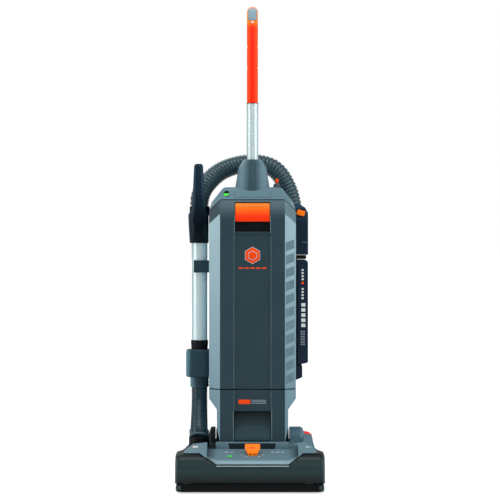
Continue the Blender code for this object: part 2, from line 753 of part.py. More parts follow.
def cord_hook_upper():
    """Turned downwards, it lets the whole cord off at once."""
    hook = rod("Y", (0, 0, HOOK_UPPER_Z), HOOK_R, BODY_REAR + GAP, HOOK_REACH, 20)
    join(hook, box(-0.011, 0.011, HOOK_REACH - 0.004, HOOK_REACH, HOOK_UPPER_Z, HOOK_UPPER_Z + 0.036))
    return hook


def cord_hook_lower():
    hook = rod("Y", (0, 0, HOOK_LOWER_Z), HOOK_R, BODY_REAR + GAP, HOOK_REACH, 20)
    join(hook, box(-0.011, 0.011, HOOK_REACH - 0.004, HOOK_REACH, HOOK_LOWER_Z - 0.036, HOOK_LOWER_Z))
    return hook


def power_cord():
    """The cord wound round both hooks, as one bundle."""

    def loop(radius):
        top = arc((0, HOOK_UPPER_Z), radius, 0, 180, 8)
        return top + arc((0, HOOK_LOWER_Z), radius, 180, 360, 8)

    return cut(prism("Y", loop(0.034), CORD_Y0, CORD_Y1 - 0.001), prism("Y", loop(0.0145), 0.0, 0.2))


# ---- head ---------------------------------------------------------------------------------------


def hood_profile():
    return [(BASE_FRONT - GAP, HEAD_LOW), (HEAD_FRONT, HEAD_LOW), (HEAD_FRONT, 0.058), (-0.1875, 0.071),
            (-0.181, 0.082), (-0.172, 0.0895), (-0.160, 0.0930), (BASE_FRONT - GAP, 0.0930)]


def cover_edge(spread):
    """The lower edge of the light cover from the front: low in the middle, stepping up to both sides."""
    middle, side = 0.0694 - spread, 0.0934 - spread
    return [
        (-0.190, side), (-0.1255, side), (-0.085, middle), (0.085, middle), (0.119, side), (0.180, side)
    ]


def brush_hood():
    hood = prism("X", hood_profile(), HEAD_LEFT, HEAD_RIGHT)
    cut(hood, prism("Y", cover_edge(GAP) + [(0.180, 0.2), (-0.190, 0.2)], -0.2, -0.1))
    inner = inset(hood_profile(), WALL)
    inner = [(y if y < -0.12 else -0.05, 0.0 if z < 0.03 else z) for y, z in inner]
    return cut(hood, prism("X", inner, HEAD_LEFT + WALL, HEAD_RIGHT - WALL))


def head_cover():
    """The light cover: a front lip and apron, a sunk tray in the middle, and wings at both sides."""
    rear = BASE_FRONT - GAP
    top = [(-0.1890, 0.066), (-0.1885, 0.0735), (-0.181, 0.0845), (-0.172, 0.0915), (-0.160, 0.0960)]
    solid = prism("X", top + [(rear, 0.1125), (rear, 0.066)], HEAD_LEFT, HEAD_RIGHT)
    sides = [
        (0.152, 0.0934), (0.149, 0.101), (0.124, 0.1125), (-0.112, 0.1125), (-0.142, 0.109),
        (-0.163, 0.0934),
    ]
    common(solid, prism("Y", cover_edge(0.0)[1:-1] + sides, -0.2, -0.1))
    sheet = [
        (-0.200, 0.0694), (-0.1890, 0.0694), (-0.1870, 0.0740), (-0.1790, 0.0795), (-0.1650, 0.0830),
        (-0.1, 0.098),
    ]
    tray = prism("X", sheet + [(-0.1, 0.15), (-0.200, 0.15)], -0.15, 0.15)
    reach = [(0.079, -0.2), (0.079, -0.188), (0.108, -0.175), (0.108, -0.1)]
    common(tray, prism("Z", [(-x, y) for x, y in reach] + [(x, y) for x, y in reversed(reach)], 0, 0.2))
    under = [(y + 0.003, z - 0.0032) for y, z in sheet[1:-1]] + [
        (-0.09, 0.097), (-0.09, 0.0), (-0.1860, 0.0)
    ]
    return cut(solid, tray, prism("X", under, -0.112, 0.112))


def right_block():
    """The right side of the chassis from the front: an ear, then steps down to the outer edge."""
    outer = [
        (HEAD_RIGHT, HEAD_LOW), (HEAD_RIGHT, 0.0730), (0.158, 0.0795), (0.151, 0.088), (0.148, 0.105)
    ]
    return [(0.094, HEAD_LOW), *outer, (0.094, 0.105)]


def left_block():
    inner = [(-0.094, HEAD_LOW), (-0.094, 0.105), (-0.1045, 0.105), (-0.1050, LEFT_TOP)]
    outer = [(-0.1550, LEFT_TOP), (-0.160, 0.0885), (-0.170, 0.0785), (HEAD_LEFT, 0.0730)]
    return [(HEAD_LEFT, HEAD_LOW), *inner, *outer]


def pan():
    """The middle of the chassis from the side: front wall, motor bay, and a floor under the drum."""
    bay = [
        (BASE_FRONT, HEAD_LOW), (BASE_FRONT, 0.110), (-0.0985, 0.110), (-0.0985, 0.0800),
        (-0.0640, 0.0800),
    ]
    under_drum = arc((PIVOT_Y, PIVOT_Z), DRUM_R + 0.004, 202, 285, 7)
    return bay + under_drum + [(0.030, 0.0290), (0.046, 0.0270), (0.046, HEAD_LOW)]


def ear(side, outside):
    """A bearing of the recline axis: flat towards the upright, and rounded off on its outer side."""
    profile = [(side * x, radius) for x, radius in [(EAR_INNER, EAR_R), *outside]]
    return lathe("X", (0, PIVOT_Y, PIVOT_Z), profile, 28)


def head_base():
    """The chassis: motor bay, floor, side boxes with wheel wells, and the ears of the recline axis."""
    base = prism("X", pan(), -0.100, 0.100)
    join(
        base, prism("Y", left_block(), BASE_FRONT, 0.078), prism("Y", right_block(), BASE_FRONT, 0.078)
    )
    join(base, ear(-1, [(0.1010, EAR_R), (0.1053, 0.024), (0.1090, 0.012)]))
    join(base, ear(1, [(0.1166, EAR_R), (0.1225, 0.0325), (0.1255, 0.026), (0.1262, 0.018)]))
    shoulder = [
        (-0.070, 0.100), (-0.070, 0.105), (-0.030, 0.1175), (0.008, 0.1230), (0.015, 0.1215),
        (0.015, 0.100),
    ]
    slope = [(0.118, 0.100), (0.1266, 0.1228), (0.1455, 0.1185), (0.1482, 0.100)]
    join(base, common(prism("X", shoulder, 0.118, 0.1482), prism("Y", slope, -0.1, 0.1)))
    for x0, x1 in WELLS:
        cut(base, box(x0, x1, 0.022, 0.1, 0.0, 0.0785))
    cut(base, box(-0.2, -0.154, 0.060, 0.1, 0.068, 0.15), box(0.150, 0.2, 0.060, 0.1, 0.068, 0.15))
    cut(base, box(-EAR_INNER, EAR_INNER, -0.0984, 0.1, PIVOT_Z + 0.006, 0.2))
    cut(
        base,
        box(-0.092, 0.107, -0.1005, -0.0672, 0.0, 0.0765),
        box(0.113, 0.146, -0.1005, 0.016, 0.0, 0.0880),
    )
    cut(
        base,
        box(0.140, 0.167, -0.1005, 0.016, 0.0, 0.0700),
        box(-0.179, -0.150, -0.1005, 0.016, 0.0, 0.0690),
    )
    cut(
        base,
        box(-0.158, -0.112, -0.1005, 0.016, 0.0, 0.0790),
        rod("X", (0, MOTOR_Y, MOTOR_Z), 0.011, 0.09, 0.12, 20),
    )
    cut(
        base,
        box(0.138, 0.160, -0.12, -0.09, 0.0, 0.0765),
        box(-EAR_INNER, EAR_INNER, -0.062, 0.1, 0.060, 0.2),
    )
    cut(base, rod("X", (0, MOTOR_Y, MOTOR_Z), 0.0203, -0.068, 0.076, 24))
    cut(base, rod("X", (0, AXLE_Y, AXLE_Z), AXLE_R + GAP, -0.160, 0.156, 20))
    cut(base, rod("X", (0, PIVOT_Y, PIVOT_Z), PIN_R + GAP, -0.2, 0.2, 24))
    cut(base, rod("Z", (PORT[0], PORT[1], 0), 0.0165, 0.07, 0.2, 24))
    return cut(base, box(PEDAL_X0 - 0.001, PEDAL_X1 + 0.001, 0.016, 0.1, 0.084, 0.2))


def release_pedal():
    """The foot pedal on the rear of the right box."""
    side = [
        (0.020, 0.088), (0.028, 0.1125), (0.050, 0.1236), (0.076, 0.1216), (0.078, 0.1100),
        (0.050, 0.1110),
    ]
    pedal = prism("X", side + [(0.034, 0.108), (0.028, 0.088)], PEDAL_X0, PEDAL_X1)
    crown = [(PEDAL_X0, 0.1236), (0.1325, 0.1228), (0.1400, 0.1195), (PEDAL_X1, 0.1150)]
    common(pedal, prism("Y", [(PEDAL_X1, 0.08), (PEDAL_X0, 0.08), *crown], 0.0, 0.1))
    return bevelled(pedal, 0.0006)


def pivot_pin(x0, x1):
    return rod("X", (0, PIVOT_Y, PIVOT_Z), PIN_R, x0, x1, 20)


def hose_port():
    """The socket that leads the lower hose into the head."""
    return pipe("Z", PORT, 0.0222, 0.0245, 0.0, PORT_TOP - PORT[2], 28)


def furniture_guard():
    """A rubber bumper round the front and both sides of the head."""
    x0, x1, y0, y1, thick = HEAD_LEFT + 0.0025, HEAD_RIGHT - 0.0025, HEAD_FRONT + 0.003, 0.0, 0.0045
    outer = [(x0, y1), (x0, y0 + 0.012), (x0 + 0.012, y0), (x1 - 0.012, y0), (x1, y0 + 0.012), (x1, y1)]
    inner = [
        (x1 - thick, y1), (x1 - thick, y0 + 0.014), (x1 - 0.014, y0 + thick), (x0 + 0.014, y0 + thick)
    ]
    return prism(
        "Z", outer + inner + [(x0 + thick, y0 + 0.014), (x0 + thick, y1)], 0.0036, HEAD_LOW - GAP
    )


def sole_plate():
    x0, x1 = HEAD_LEFT + 0.009, HEAD_RIGHT - 0.009
    plate = box(x0, x1, HEAD_FRONT + 0.018, BASE_FRONT, 0.0060, 0.0085)
    return cut(plate, box(-0.160, 0.134, -0.164, -0.116, 0.0, 0.02))


def bottom_cover():
    plate = box(-0.0915, 0.1065, -0.1000, -0.0676, 0.0215, 0.0235)
    join(plate, box(-0.0915, 0.1065, -0.070, 0.020, 0.0205, 0.0236))
    return cut(
        plate,
        box(-0.0715, -0.0445, -0.099, -0.060, 0.0, 0.03),
        box(0.0445, 0.0715, -0.099, -0.060, 0.0, 0.03),
    )


# ---- brush drive --------------------------------------------------------------------------------


def brush_roll():
    """The brush roll with its pulley and shaft, and two rows of bristles wound round it."""
    core = [
        (-0.1735, 0.005), (-0.160, 0.005), (-0.160, 0.0235), (0.137, 0.0235), (0.137, 0.010),
        (BELT_X0, 0.010),
    ]
    pulley = [(BELT_X0, BRUSH_PULLEY_R), (BELT_X1, BRUSH_PULLEY_R), (BELT_X1, 0.005), (0.1640, 0.005)]
    roll = lathe("X", (0, BRUSH_Y, BRUSH_Z), core + pulley, 24)
    steps = 12
    for row in range(2):
        outlines = []
        for step in range(steps + 1):
            x = -0.150 + 0.275 * step / steps
            turn = math.pi * row + math.radians(200) * step / steps
            corners = [(0.021, -0.10), (BRUSH_TIP, -0.06), (BRUSH_TIP, 0.06), (0.021, 0.10)]
            outlines.append(
                [
                    (x, BRUSH_Y + r * math.cos(turn + t), BRUSH_Z + r * math.sin(turn + t))
                    for r, t in corners
                ]
            )
        join(roll, loft(outlines))
    return roll


def brush_end_cap(x0, x1):
    block = box(x0, x1, BRUSH_Y - 0.016, BRUSH_Y + 0.016, BRUSH_Z - 0.020, BRUSH_Z + 0.016)
    return cut(block, rod("X", (0, BRUSH_Y, BRUSH_Z), 0.005 + RUN, x0 - 0.01, x1 + 0.01, 20))


def brush_motor():
    steps = [(-0.066, 0.012), (-0.066, 0.0195), (0.074, 0.0195), (0.074, 0.0035), (0.1620, 0.0035)]
    return lathe("X", (0, MOTOR_Y, MOTOR_Z), steps, 24)


def motor_pulley():
    return pipe("X", (0, MOTOR_Y, MOTOR_Z), 0.0035 + RUN, MOTOR_PULLEY_R, BELT_X0, BELT_X1, 20)


def belt_outline(extra):
    """The line round both pulleys, in y and z: an arc on each, and the two straight runs between."""
    across, rise = MOTOR_Y - BRUSH_Y, MOTOR_Z - BRUSH_Z
    heading = math.degrees(math.atan2(rise, across))
    wrap = math.degrees(math.acos((BRUSH_PULLEY_R - MOTOR_PULLEY_R) / math.hypot(across, rise)))
    big = arc((BRUSH_Y, BRUSH_Z), BRUSH_PULLEY_R + extra, heading + wrap, heading + 360 - wrap, 14)
    return big + arc((MOTOR_Y, MOTOR_Z), MOTOR_PULLEY_R + extra, heading - wrap, heading + wrap, 8)


def drive_belt():
    belt = prism("X", belt_outline(GAP + BELT_THICK), BELT_X0 + 0.0005, BELT_X1 - 0.0005)
    return cut(belt, prism("X", belt_outline(GAP), 0.1, 0.2))


# ---- wheels and height adjustment -----------------------------------------------------------------


def rear_axle():
    return rod("X", (0, AXLE_Y, AXLE_Z), AXLE_R, -0.1590, 0.1550, 20)


def rear_wheel(x0, x1):
    """A wheel with a rounded tread and a sunk disc on both faces."""
    half = [(0.004, WHEEL_R), (0.0, 0.034), (0.0, 0.026), (0.004, 0.024), (0.004, 0.010), (0.0, 0.010)]
    near = [(x0 + depth, radius) for depth, radius in half]
    far = [(x1 - depth, radius) for depth, radius in reversed(half)]
    bore = [(x0, AXLE_R + RUN), (x1, AXLE_R + RUN)]
    return lathe("X", (0, AXLE_Y, AXLE_Z), near + bore + far, 36, ring=True)


def wheel_carriage():
    """The yoke of the small front wheels, tilting on a pin behind them."""
    y, z = CARRIAGE_PIVOT
    yoke = box(-0.052, 0.052, FRONT_WHEEL_Y + 0.018, y + 0.004, z - 0.004, z)
    for side in (-1, 1):
        x0, x1 = sorted((side * 0.046, side * 0.052))
        join(
            yoke,
            box(x0, x1, FRONT_WHEEL_Y - 0.006, FRONT_WHEEL_Y + 0.020, FRONT_WHEEL_R - 0.005, 0.0190),
        )
        x0, x1 = sorted((side * 0.050, side * 0.0700))
        join(yoke, rod("X", (0, FRONT_WHEEL_Y, FRONT_WHEEL_R), 0.003, x0, x1, 12))
    return yoke


def front_wheel(x0, x1):
    bore = 0.003 + RUN
    profile = [
        (x0, bore), (x0, 0.012), (x0 + 0.002, FRONT_WHEEL_R), (x1 - 0.002, FRONT_WHEEL_R), (x1, 0.012),
        (x1, bore),
    ]
    return lathe("X", (0, FRONT_WHEEL_Y, FRONT_WHEEL_R), profile, 24, ring=True)


def height_knob():
    """The dial that sets the height, with a grip on it that narrows towards the front and the bottom."""
    dial = lathe("Z", KNOB, [(0.0, 0.0184), (0.007, 0.0184), (0.009, 0.0165)], 32)
    plan = [
        (-0.0085, -0.0160), (0.0085, -0.0160), (0.0180, -0.0035), (0.0180, 0.0115), (-0.0180, 0.0115),
        (-0.0180, -0.0035),
    ]
    side = [
        (-0.0170, 0.002), (-0.0170, 0.0070), (-0.0035, 0.0140), (0.0055, 0.0235), (0.0090, 0.0240),
        (0.0130, 0.0200),
    ]
    grip = prism("Z", [(x, KNOB[1] + y) for x, y in plan], KNOB[2] + 0.002, KNOB[2] + 0.03)
    profile = [(KNOB[1] + y, KNOB[2] + z) for y, z in side + [(0.0130, 0.002)]]
    join(dial, common(grip, prism("X", profile, -0.03, 0.03)))
    rotated(dial, KNOB_TILT, "X", KNOB)
    face = mirrored(
        [(0.0085, 0.0840), (0.0110, 0.0893), (0.0184, 0.1013), (0.0184, 0.1098), (0.0160, 0.1118)]
    )
    return common(dial, prism("Y", face, -0.2, -0.1))


def head_indicator():
    lens = box(-0.0585, -0.0495, -0.1660, -0.1600, 0.0850, 0.0868)
    return rotated(lens, KNOB_TILT, "X", (0, -0.163, 0.085))


# ---- assembly -----------------------------------------------------------------------------------


def build_head(head):
    node("head_base", head_base(), "grey_plastic", head)
    node("brush_hood", brush_hood(), "dark_hood", head)
    node("head_cover", head_cover(), "grey_plastic", head)
    node("furniture_guard", furniture_guard(), "rubber", head)
    node("sole_plate", sole_plate(), "steel", head)
    node("bottom_cover", bottom_cover(), "black_plastic", head)
    node("brush_motor", brush_motor(), "steel", head)
    node("drive_belt", drive_belt(), "rubber", head)
    node("brush_end_cap_left", brush_end_cap(-0.1725, -0.1640), "black_plastic", head)
    node("brush_end_cap_right", brush_end_cap(0.1565, 0.1630), "black_plastic", head)
    node("rear_axle", rear_axle(), "steel", head)
    node("pivot_pin_left", pivot_pin(-0.1035, -0.0765), "steel", head)
    node("pivot_pin_right", pivot_pin(0.0765, 0.1205), "steel", head)
    node("hose_port", hose_port(), "black_plastic", head)
    node("head_indicator", head_indicator(), "green_lens", head)


def build_head_movers(head):
    brush = joint_empty("brush_axis", (0, BRUSH_Y, BRUSH_Z), head)
    node("brush_roll", brush_roll(), "black_plastic", brush)
    pulley = joint_empty("motor_axis", (0, MOTOR_Y, MOTOR_Z), head)
    node("motor_pulley", motor_pulley(), "steel", pulley)
    left = joint_empty("left_wheel_axis", (0, AXLE_Y, AXLE_Z), head)
    node("rear_wheel_left", rear_wheel(-0.1510, -0.1290), "rubber", left)
    right = joint_empty("right_wheel_axis", (0, AXLE_Y, AXLE_Z), head)
    node("rear_wheel_right", rear_wheel(0.1250, 0.1470), "rubber", right)
    carriage = joint_empty("carriage_axis", (0, *CARRIAGE_PIVOT), head)
    node("wheel_carriage", wheel_carriage(), "black_plastic", carriage)
    for side, x0, x1 in (("left", -0.0680, -0.0530), ("right", 0.0530, 0.0680)):
        roller = joint_empty(side + "_roller_axis", (0, FRONT_WHEEL_Y, FRONT_WHEEL_R), carriage)
        node("front_wheel_" + side, front_wheel(x0, x1), "rubber", roller)
    dial = joint_empty("dial_axis", KNOB, head)
    node("height_knob", height_knob(), "orange_plastic", dial)
    pedal = joint_empty("pedal_axis", PEDAL_PIVOT, head)
    node("release_pedal", release_pedal(), "red_plastic", pedal)


def build_upright(upright):
    node("lower_housing", lower_housing(), "slate_plastic", upright)
    node("bag_housing", bag_housing(), "slate_plastic", upright)
    node("top_cap", top_cap(), "grey_plastic", upright)
    node("door_seal", door_seal(), "rubber", upright)
    node("filter_bag", filter_bag(), "bag_fabric", upright)
    node("bag_collar", bag_collar(), "filter_media", upright)
    node("pre_filter", pre_filter(), "foam", upright)
    node("vacuum_motor", vacuum_motor(), "steel", upright)
    node("motor_cradle", motor_cradle(), "black_plastic", upright)
    node("handle_socket", handle_socket(), "grey_plastic", upright)
    node("handle_tube", handle_tube(), "aluminium_tube", upright)
    node("handle_grip", handle_grip(), "orange_plastic", upright)
    node("toggle_boot", toggle_boot(), "black_plastic", upright)
    node("bag_indicator", bag_indicator(), "green_lens", upright)
    node("hose_connector", hose_connector(), "navy_plastic", upright)
    node("filter_frame", filter_frame(), "black_plastic", upright)
    node("filter_duct", filter_duct(), "navy_plastic", upright)
    node("wand_cup", wand_cup(), "grey_plastic", upright)
    node("wand_clip", wand_clip(), "slate_plastic", upright)
    node("hose", hose(), "slate_plastic", upright)
    node("lower_hose", lower_hose(), "slate_plastic", upright)
    node("cord_hook_lower", cord_hook_lower(), "black_plastic", upright)
    node("power_cord", power_cord(), "rubber", upright)


def build_upright_movers(upright):
    door = joint_empty("door_axis", DOOR_HINGE, upright)
    node("bag_door", bag_door(), "slate_plastic", door)
    latch = joint_empty("latch_axis", LATCH_HINGE, door)
    node("door_latch", door_latch(), "orange_plastic", latch)
    fan = joint_empty("fan_axis", (0, FAN_Y, FAN_Z), upright)
    node("motor_fan", motor_fan(), "aluminium_tube", fan)
    cover = joint_empty("filter_cover_axis", COVER_HINGE, upright)
    node("filter_cover", filter_cover(), "navy_plastic", cover)
    node("hepa_filter", hepa_filter(), "filter_media", cover)
    button = joint_empty("hose_button_axis", (0.118, NAVY_Y0, 0.664), upright)
    node("hose_button", hose_button(), "orange_plastic", button)
    switch = joint_empty("switch_axis", (0, 0.029, 1.155), upright)
    node("power_switch", power_switch(), "light_grey_plastic", switch)
    toggle = joint_empty("toggle_axis", (TOGGLE[0], TOGGLE[1], TOP + 0.003), upright)
    node("mode_toggle", mode_toggle(), "orange_plastic", toggle)
    hook = joint_empty("hook_axis", (0, BODY_REAR, HOOK_UPPER_Z), upright)
    node("cord_hook_upper", cord_hook_upper(), "black_plastic", hook)
    wand = joint_empty("wand_axis", (WAND_X, WAND_Y, TUBE_LOW), upright)
    node("wand_tube", wand_tube(), "aluminium_tube", wand)
    node("wand_collar", wand_collar(), "black_plastic", wand)
    node("wand_handle", wand_handle(), "black_plastic", wand)


def main():
    clear_scene()
    head = joint_empty("head", (0, 0, 0))
    head.location = (-(HEAD_LEFT + HEAD_RIGHT) / 2, -(HEAD_FRONT + ELBOW[1] + ELBOW_R) / 2, 0)
    build_head(head)
    build_head_movers(head)
    upright = joint_empty("recline_axis", (0, PIVOT_Y, PIVOT_Z), head)
    build_upright(upright)
    build_upright_movers(upright)


main()
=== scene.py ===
"""The looks of the upright vacuum cleaner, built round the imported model."""

import json
import math
import random

import bmesh
import bpy
from mathutils import Matrix, Vector
from mathutils.bvhtree import BVHTree

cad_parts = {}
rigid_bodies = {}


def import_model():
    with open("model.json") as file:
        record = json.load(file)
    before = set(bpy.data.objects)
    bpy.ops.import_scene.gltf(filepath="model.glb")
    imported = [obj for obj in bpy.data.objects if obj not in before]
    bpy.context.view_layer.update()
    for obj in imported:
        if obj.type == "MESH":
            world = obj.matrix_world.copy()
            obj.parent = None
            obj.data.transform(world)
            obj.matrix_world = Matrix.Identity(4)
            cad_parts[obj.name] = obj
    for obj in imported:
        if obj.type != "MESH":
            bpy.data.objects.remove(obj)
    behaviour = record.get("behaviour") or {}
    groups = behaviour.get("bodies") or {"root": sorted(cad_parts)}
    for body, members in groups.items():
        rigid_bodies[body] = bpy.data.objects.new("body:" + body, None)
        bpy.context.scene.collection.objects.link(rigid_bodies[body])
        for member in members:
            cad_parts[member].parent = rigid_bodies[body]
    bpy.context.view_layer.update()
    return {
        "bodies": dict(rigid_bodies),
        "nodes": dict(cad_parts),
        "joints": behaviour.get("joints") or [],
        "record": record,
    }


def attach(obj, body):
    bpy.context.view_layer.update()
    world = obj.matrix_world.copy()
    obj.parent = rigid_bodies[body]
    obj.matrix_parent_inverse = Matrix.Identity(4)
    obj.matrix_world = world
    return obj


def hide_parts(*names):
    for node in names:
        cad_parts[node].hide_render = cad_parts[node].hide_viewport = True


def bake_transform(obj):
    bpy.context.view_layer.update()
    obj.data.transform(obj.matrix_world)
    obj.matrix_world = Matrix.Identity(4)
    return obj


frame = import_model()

NODES = frame["nodes"]
PIVOT = Vector(next(j["pos_m"] for j in frame["joints"] if j["name"] == "recline"))
ORIGIN = Vector((PIVOT.x, PIVOT.y, 0.0))  # the point that all shapes below are measured from


# ---- node materials ----


SHEEN = 0.18  # the plastics are matt, so that they reflect less than bare resin
MOULD_GRAIN = (1250.0, 3.0, 0.25, 0.00025)  # the spark-eroded texture of the mould


class Surface:
    """A node material in the making: a Principled BSDF and short ways to add to it."""

    def __init__(self, name):
        self.material = bpy.data.materials.new(name)
        self.material.use_nodes = True
        self.tree = self.material.node_tree
        self.shader = self.tree.nodes["Principled BSDF"]
        self.place = self.add("ShaderNodeTexCoord").outputs["Object"]
        self.set("Specular IOR Level", SHEEN)

    def add(self, kind, **settings):
        made = self.tree.nodes.new(kind)
        for key, value in settings.items():
            setattr(made, key, value)
        return made

    def wire(self, source, target):
        self.tree.links.new(source, target)

    def set(self, socket, value):
        self.shader.inputs[socket].default_value = value

    def noise(self, scale, detail=3.0, stretch=(1, 1, 1)):
        mapping = self.add("ShaderNodeMapping")
        mapping.inputs["Scale"].default_value = stretch
        self.wire(self.place, mapping.inputs["Vector"])
        made = self.add("ShaderNodeTexNoise")
        made.inputs["Scale"].default_value = scale
        made.inputs["Detail"].default_value = detail
        self.wire(mapping.outputs["Vector"], made.inputs["Vector"])
        return made.outputs["Fac"]

    def normal_x(self):
        """How far a face is turned to the right (+1) or to the left (-1)."""
        split = self.add("ShaderNodeSeparateXYZ")
        self.wire(self.add("ShaderNodeNewGeometry").outputs["Normal"], split.inputs[0])
        return split.outputs["X"]

    def across(self, shift=0.0):
        """How far to the right of the middle plane."""
        return self.math("SUBTRACT", self.axis("X"), ORIGIN.x + shift)

    def off_middle(self, shift=0.0):
        """The distance from the middle plane."""
        return self.math("ABSOLUTE", self.across(shift))

    def remap(self, value, low, high, from_low=0.3, from_high=0.7):
        made = self.add("ShaderNodeMapRange")
        for socket, number in zip(
            ("From Min", "From Max", "To Min", "To Max"), (from_low, from_high, low, high)
        ):
            made.inputs[socket].default_value = number
        self.wire(value, made.inputs["Value"])
        return made.outputs["Result"]

    def mix(self, factor, first, second):
        """A colour between two, which may be colours or sockets."""
        made = self.add("ShaderNodeMix", data_type="RGBA")
        self.wire(factor, made.inputs["Factor"])
        for socket, value in ((made.inputs[6], first), (made.inputs[7], second)):
            if isinstance(value, tuple):
                socket.default_value = (*value, 1.0)
            else:
                self.wire(value, socket)
        return made.outputs[2]

    def math(self, operation, first, second=0.0):
        made = self.add("ShaderNodeMath", operation=operation)
        for socket, value in zip(made.inputs, (first, second)):
            if isinstance(value, (int, float)):
                socket.default_value = value
            else:
                self.wire(value, socket)
        return made.outputs[0]

    def bump(self, height, strength, distance, under=None):
        made = self.add("ShaderNodeBump")
        made.inputs["Strength"].default_value = strength
        made.inputs["Distance"].default_value = distance
        self.wire(height, made.inputs["Height"])
        if under is not None:
            self.wire(under, made.inputs["Normal"])
        return made.outputs["Normal"]

    def speckled(self, base, cloud, speck, scale=14.0):
        """A base under faint clouds of one colour and fine specks of another."""
        base = self.mix(self.remap(self.noise(scale, 4.0), 0.0, cloud[0]), base, cloud[1])
        return self.mix(self.remap(self.noise(1500.0, 2.0), 0.0, 0.12), base, speck) if speck else base

    def finish(self, base, rough, grain, rough_detail=5.0):
        """Ends a material with its colour, its roughness as (scale, low, high) of a noise, and its
        grain as (scale, detail, strength, depth) of another."""
        self.wire(base, self.shader.inputs["Base Color"])
        scale, low, high = rough
        rough = self.remap(self.noise(scale, rough_detail), low, high)
        self.wire(rough, self.shader.inputs["Roughness"])
        scale, detail, strength, depth = grain
        self.wire(self.bump(self.noise(scale, detail), strength, depth), self.shader.inputs["Normal"])
        return self.material

    def lit(self, base, glow):
        """Painted glow: lets the colour shine a little by itself, as bright plastic seems to, though it is
        no lamp.
        """
        self.wire(base, self.shader.inputs["Emission Color"])
        self.set("Emission Strength", glow)

    def coated(self, weight, roughness):
        self.set("Coat Weight", weight)
        self.set("Coat Roughness", roughness)

    def axis(self, name):
        """One coordinate of the place on the piece, in metres."""
        split = self.add("ShaderNodeSeparateXYZ")
        self.wire(self.place, split.inputs[0])
        return split.outputs[name]


def shade(colour, factor):
    return tuple(min(1.0, c * factor) for c in colour)


def moulded(name, colour, roughness=0.42, grain=0.25, coat=0.0, side=None, scratch=0.35, glow=0.0):
    """Moulded plastic: a fine spark-eroded grain, faint cloudiness, dust, and rubbed lighter edges.
    side is a colour of painted light for the faces that turn away to the left and right, as if lit by the
    side lamps; glow adds a painted glow."""
    made = Surface(name)
    cloud = made.noise(14.0, 4.0)
    speck = made.noise(1600.0, 2.0)
    base = made.mix(made.remap(cloud, 0.0, 1.0), shade(colour, 0.90), shade(colour, 1.10))
    # painted light: faces turned to the sides take the side colour, standing in for the light of the side
    # lamps
    if side is not None:
        turned = made.remap(made.math("ABSOLUTE", made.normal_x()), 0.0, 1.0, 0.20, 0.70)
        base = made.mix(turned, base, side)
    base = made.mix(made.remap(speck, 0.0, 0.16), base, shade(colour, 1.5))
    edge = made.add("ShaderNodeNewGeometry").outputs["Pointiness"]
    rubbed = made.remap(made.noise(55.0, 5.0), 0.2, 1.0)
    worn = made.math("MULTIPLY", made.remap(edge, 0.0, 0.35, 0.56, 0.66), rubbed)
    base = made.mix(worn, base, shade(colour, 1.8))
    made.wire(base, made.shader.inputs["Base Color"])
    # painted glow: the plastic shines by itself, though it is no lamp
    if glow:
        made.lit(base, glow)
    streak = made.noise(160.0, 3.0, (1.0, 1.0, 0.06))
    rough = made.math(
        "ADD", made.remap(made.noise(9.0, 5.0), -0.05, 0.06), made.remap(streak, -0.03, 0.04)
    )
    made.wire(made.math("ADD", rough, roughness), made.shader.inputs["Roughness"])
    fine = made.bump(made.noise(1250.0, 3.0), grain, 0.00025)
    made.wire(
        made.bump(made.noise(42.0, 2.0), scratch * 0.25, 0.0006, fine), made.shader.inputs["Normal"]
    )
    made.coated(coat, 0.18)
    return made.material


def painted_height_light(
    name, low_colour, high_colour, z_low, z_high, roughness=0.34, grain=0.15, coat=0.1, glow=0.0
):
    """Plastic with painted light: its colour runs from one tone to another with height, standing in for
    light and shade.
    """
    made = Surface(name)
    height = made.remap(made.axis("Z"), 0.0, 1.0, z_low, z_high)
    base = made.mix(height, low_colour, high_colour)
    cloud = made.remap(made.noise(18.0, 4.0), 0.0, 0.25)
    base = made.mix(cloud, base, shade(low_colour, 0.9))
    made.wire(base, made.shader.inputs["Base Color"])
    # painted glow: the plastic shines by itself, though it is no lamp
    if glow:
        made.lit(base, glow)
    rough = made.math("ADD", made.remap(made.noise(12.0, 5.0), -0.05, 0.07), roughness)
    made.wire(rough, made.shader.inputs["Roughness"])
    fine = made.bump(made.noise(1400.0, 2.0), grain, 0.0002)
    made.wire(fine, made.shader.inputs["Normal"])
    made.coated(coat, 0.15)
    return made.material


def metal(name, colour, roughness=0.3, along=(1.0, 1.0, 0.02), metallic=1.0):
    """Drawn or brushed metal, with fine lines along one direction."""
    made = Surface(name)
    lines = made.noise(900.0, 4.0, along)
    smudge = made.noise(11.0, 4.0)
    tone = made.mix(made.remap(lines, 0.0, 1.0), shade(colour, 0.95), shade(colour, 1.03))
    made.wire(tone, made.shader.inputs["Base Color"])
    worn = made.remap(smudge, roughness - 0.03, roughness + 0.05)
    rough = made.math("ADD", made.remap(lines, -0.03, 0.04), worn)
    made.wire(rough, made.shader.inputs["Roughness"])
    made.wire(made.bump(lines, 0.02, 0.0001), made.shader.inputs["Normal"])
    made.set("Metallic", metallic)
    return made.material


def rubbery(name, colour, roughness=0.62):
    made = Surface(name)
    dust = made.remap(made.noise(35.0, 6.0), 0.0, 0.5, 0.45, 0.8)
    tone = made.mix(dust, colour, shade(colour, 2.6))
    return made.finish(tone, (20.0, roughness - 0.08, roughness + 0.1), (900.0, 4.0, 0.3, 0.0003), 4.0)


def lens(name, colour, glow):
    """A moulded lens with a lamp behind it, and fine ribs inside."""
    made = Surface(name)
    wave = made.add("ShaderNodeTexWave")
    wave.inputs["Scale"].default_value = 400.0
    made.wire(made.place, wave.inputs["Vector"])
    tone = made.mix(wave.outputs["Fac"], shade(colour, 0.75), colour)
    made.wire(tone, made.shader.inputs["Base Color"])
    made.wire(tone, made.shader.inputs["Emission Color"])
    made.set("Emission Strength", glow)
    made.set("Roughness", 0.15)
    made.set("Coat Weight", 0.8)
    return made.material


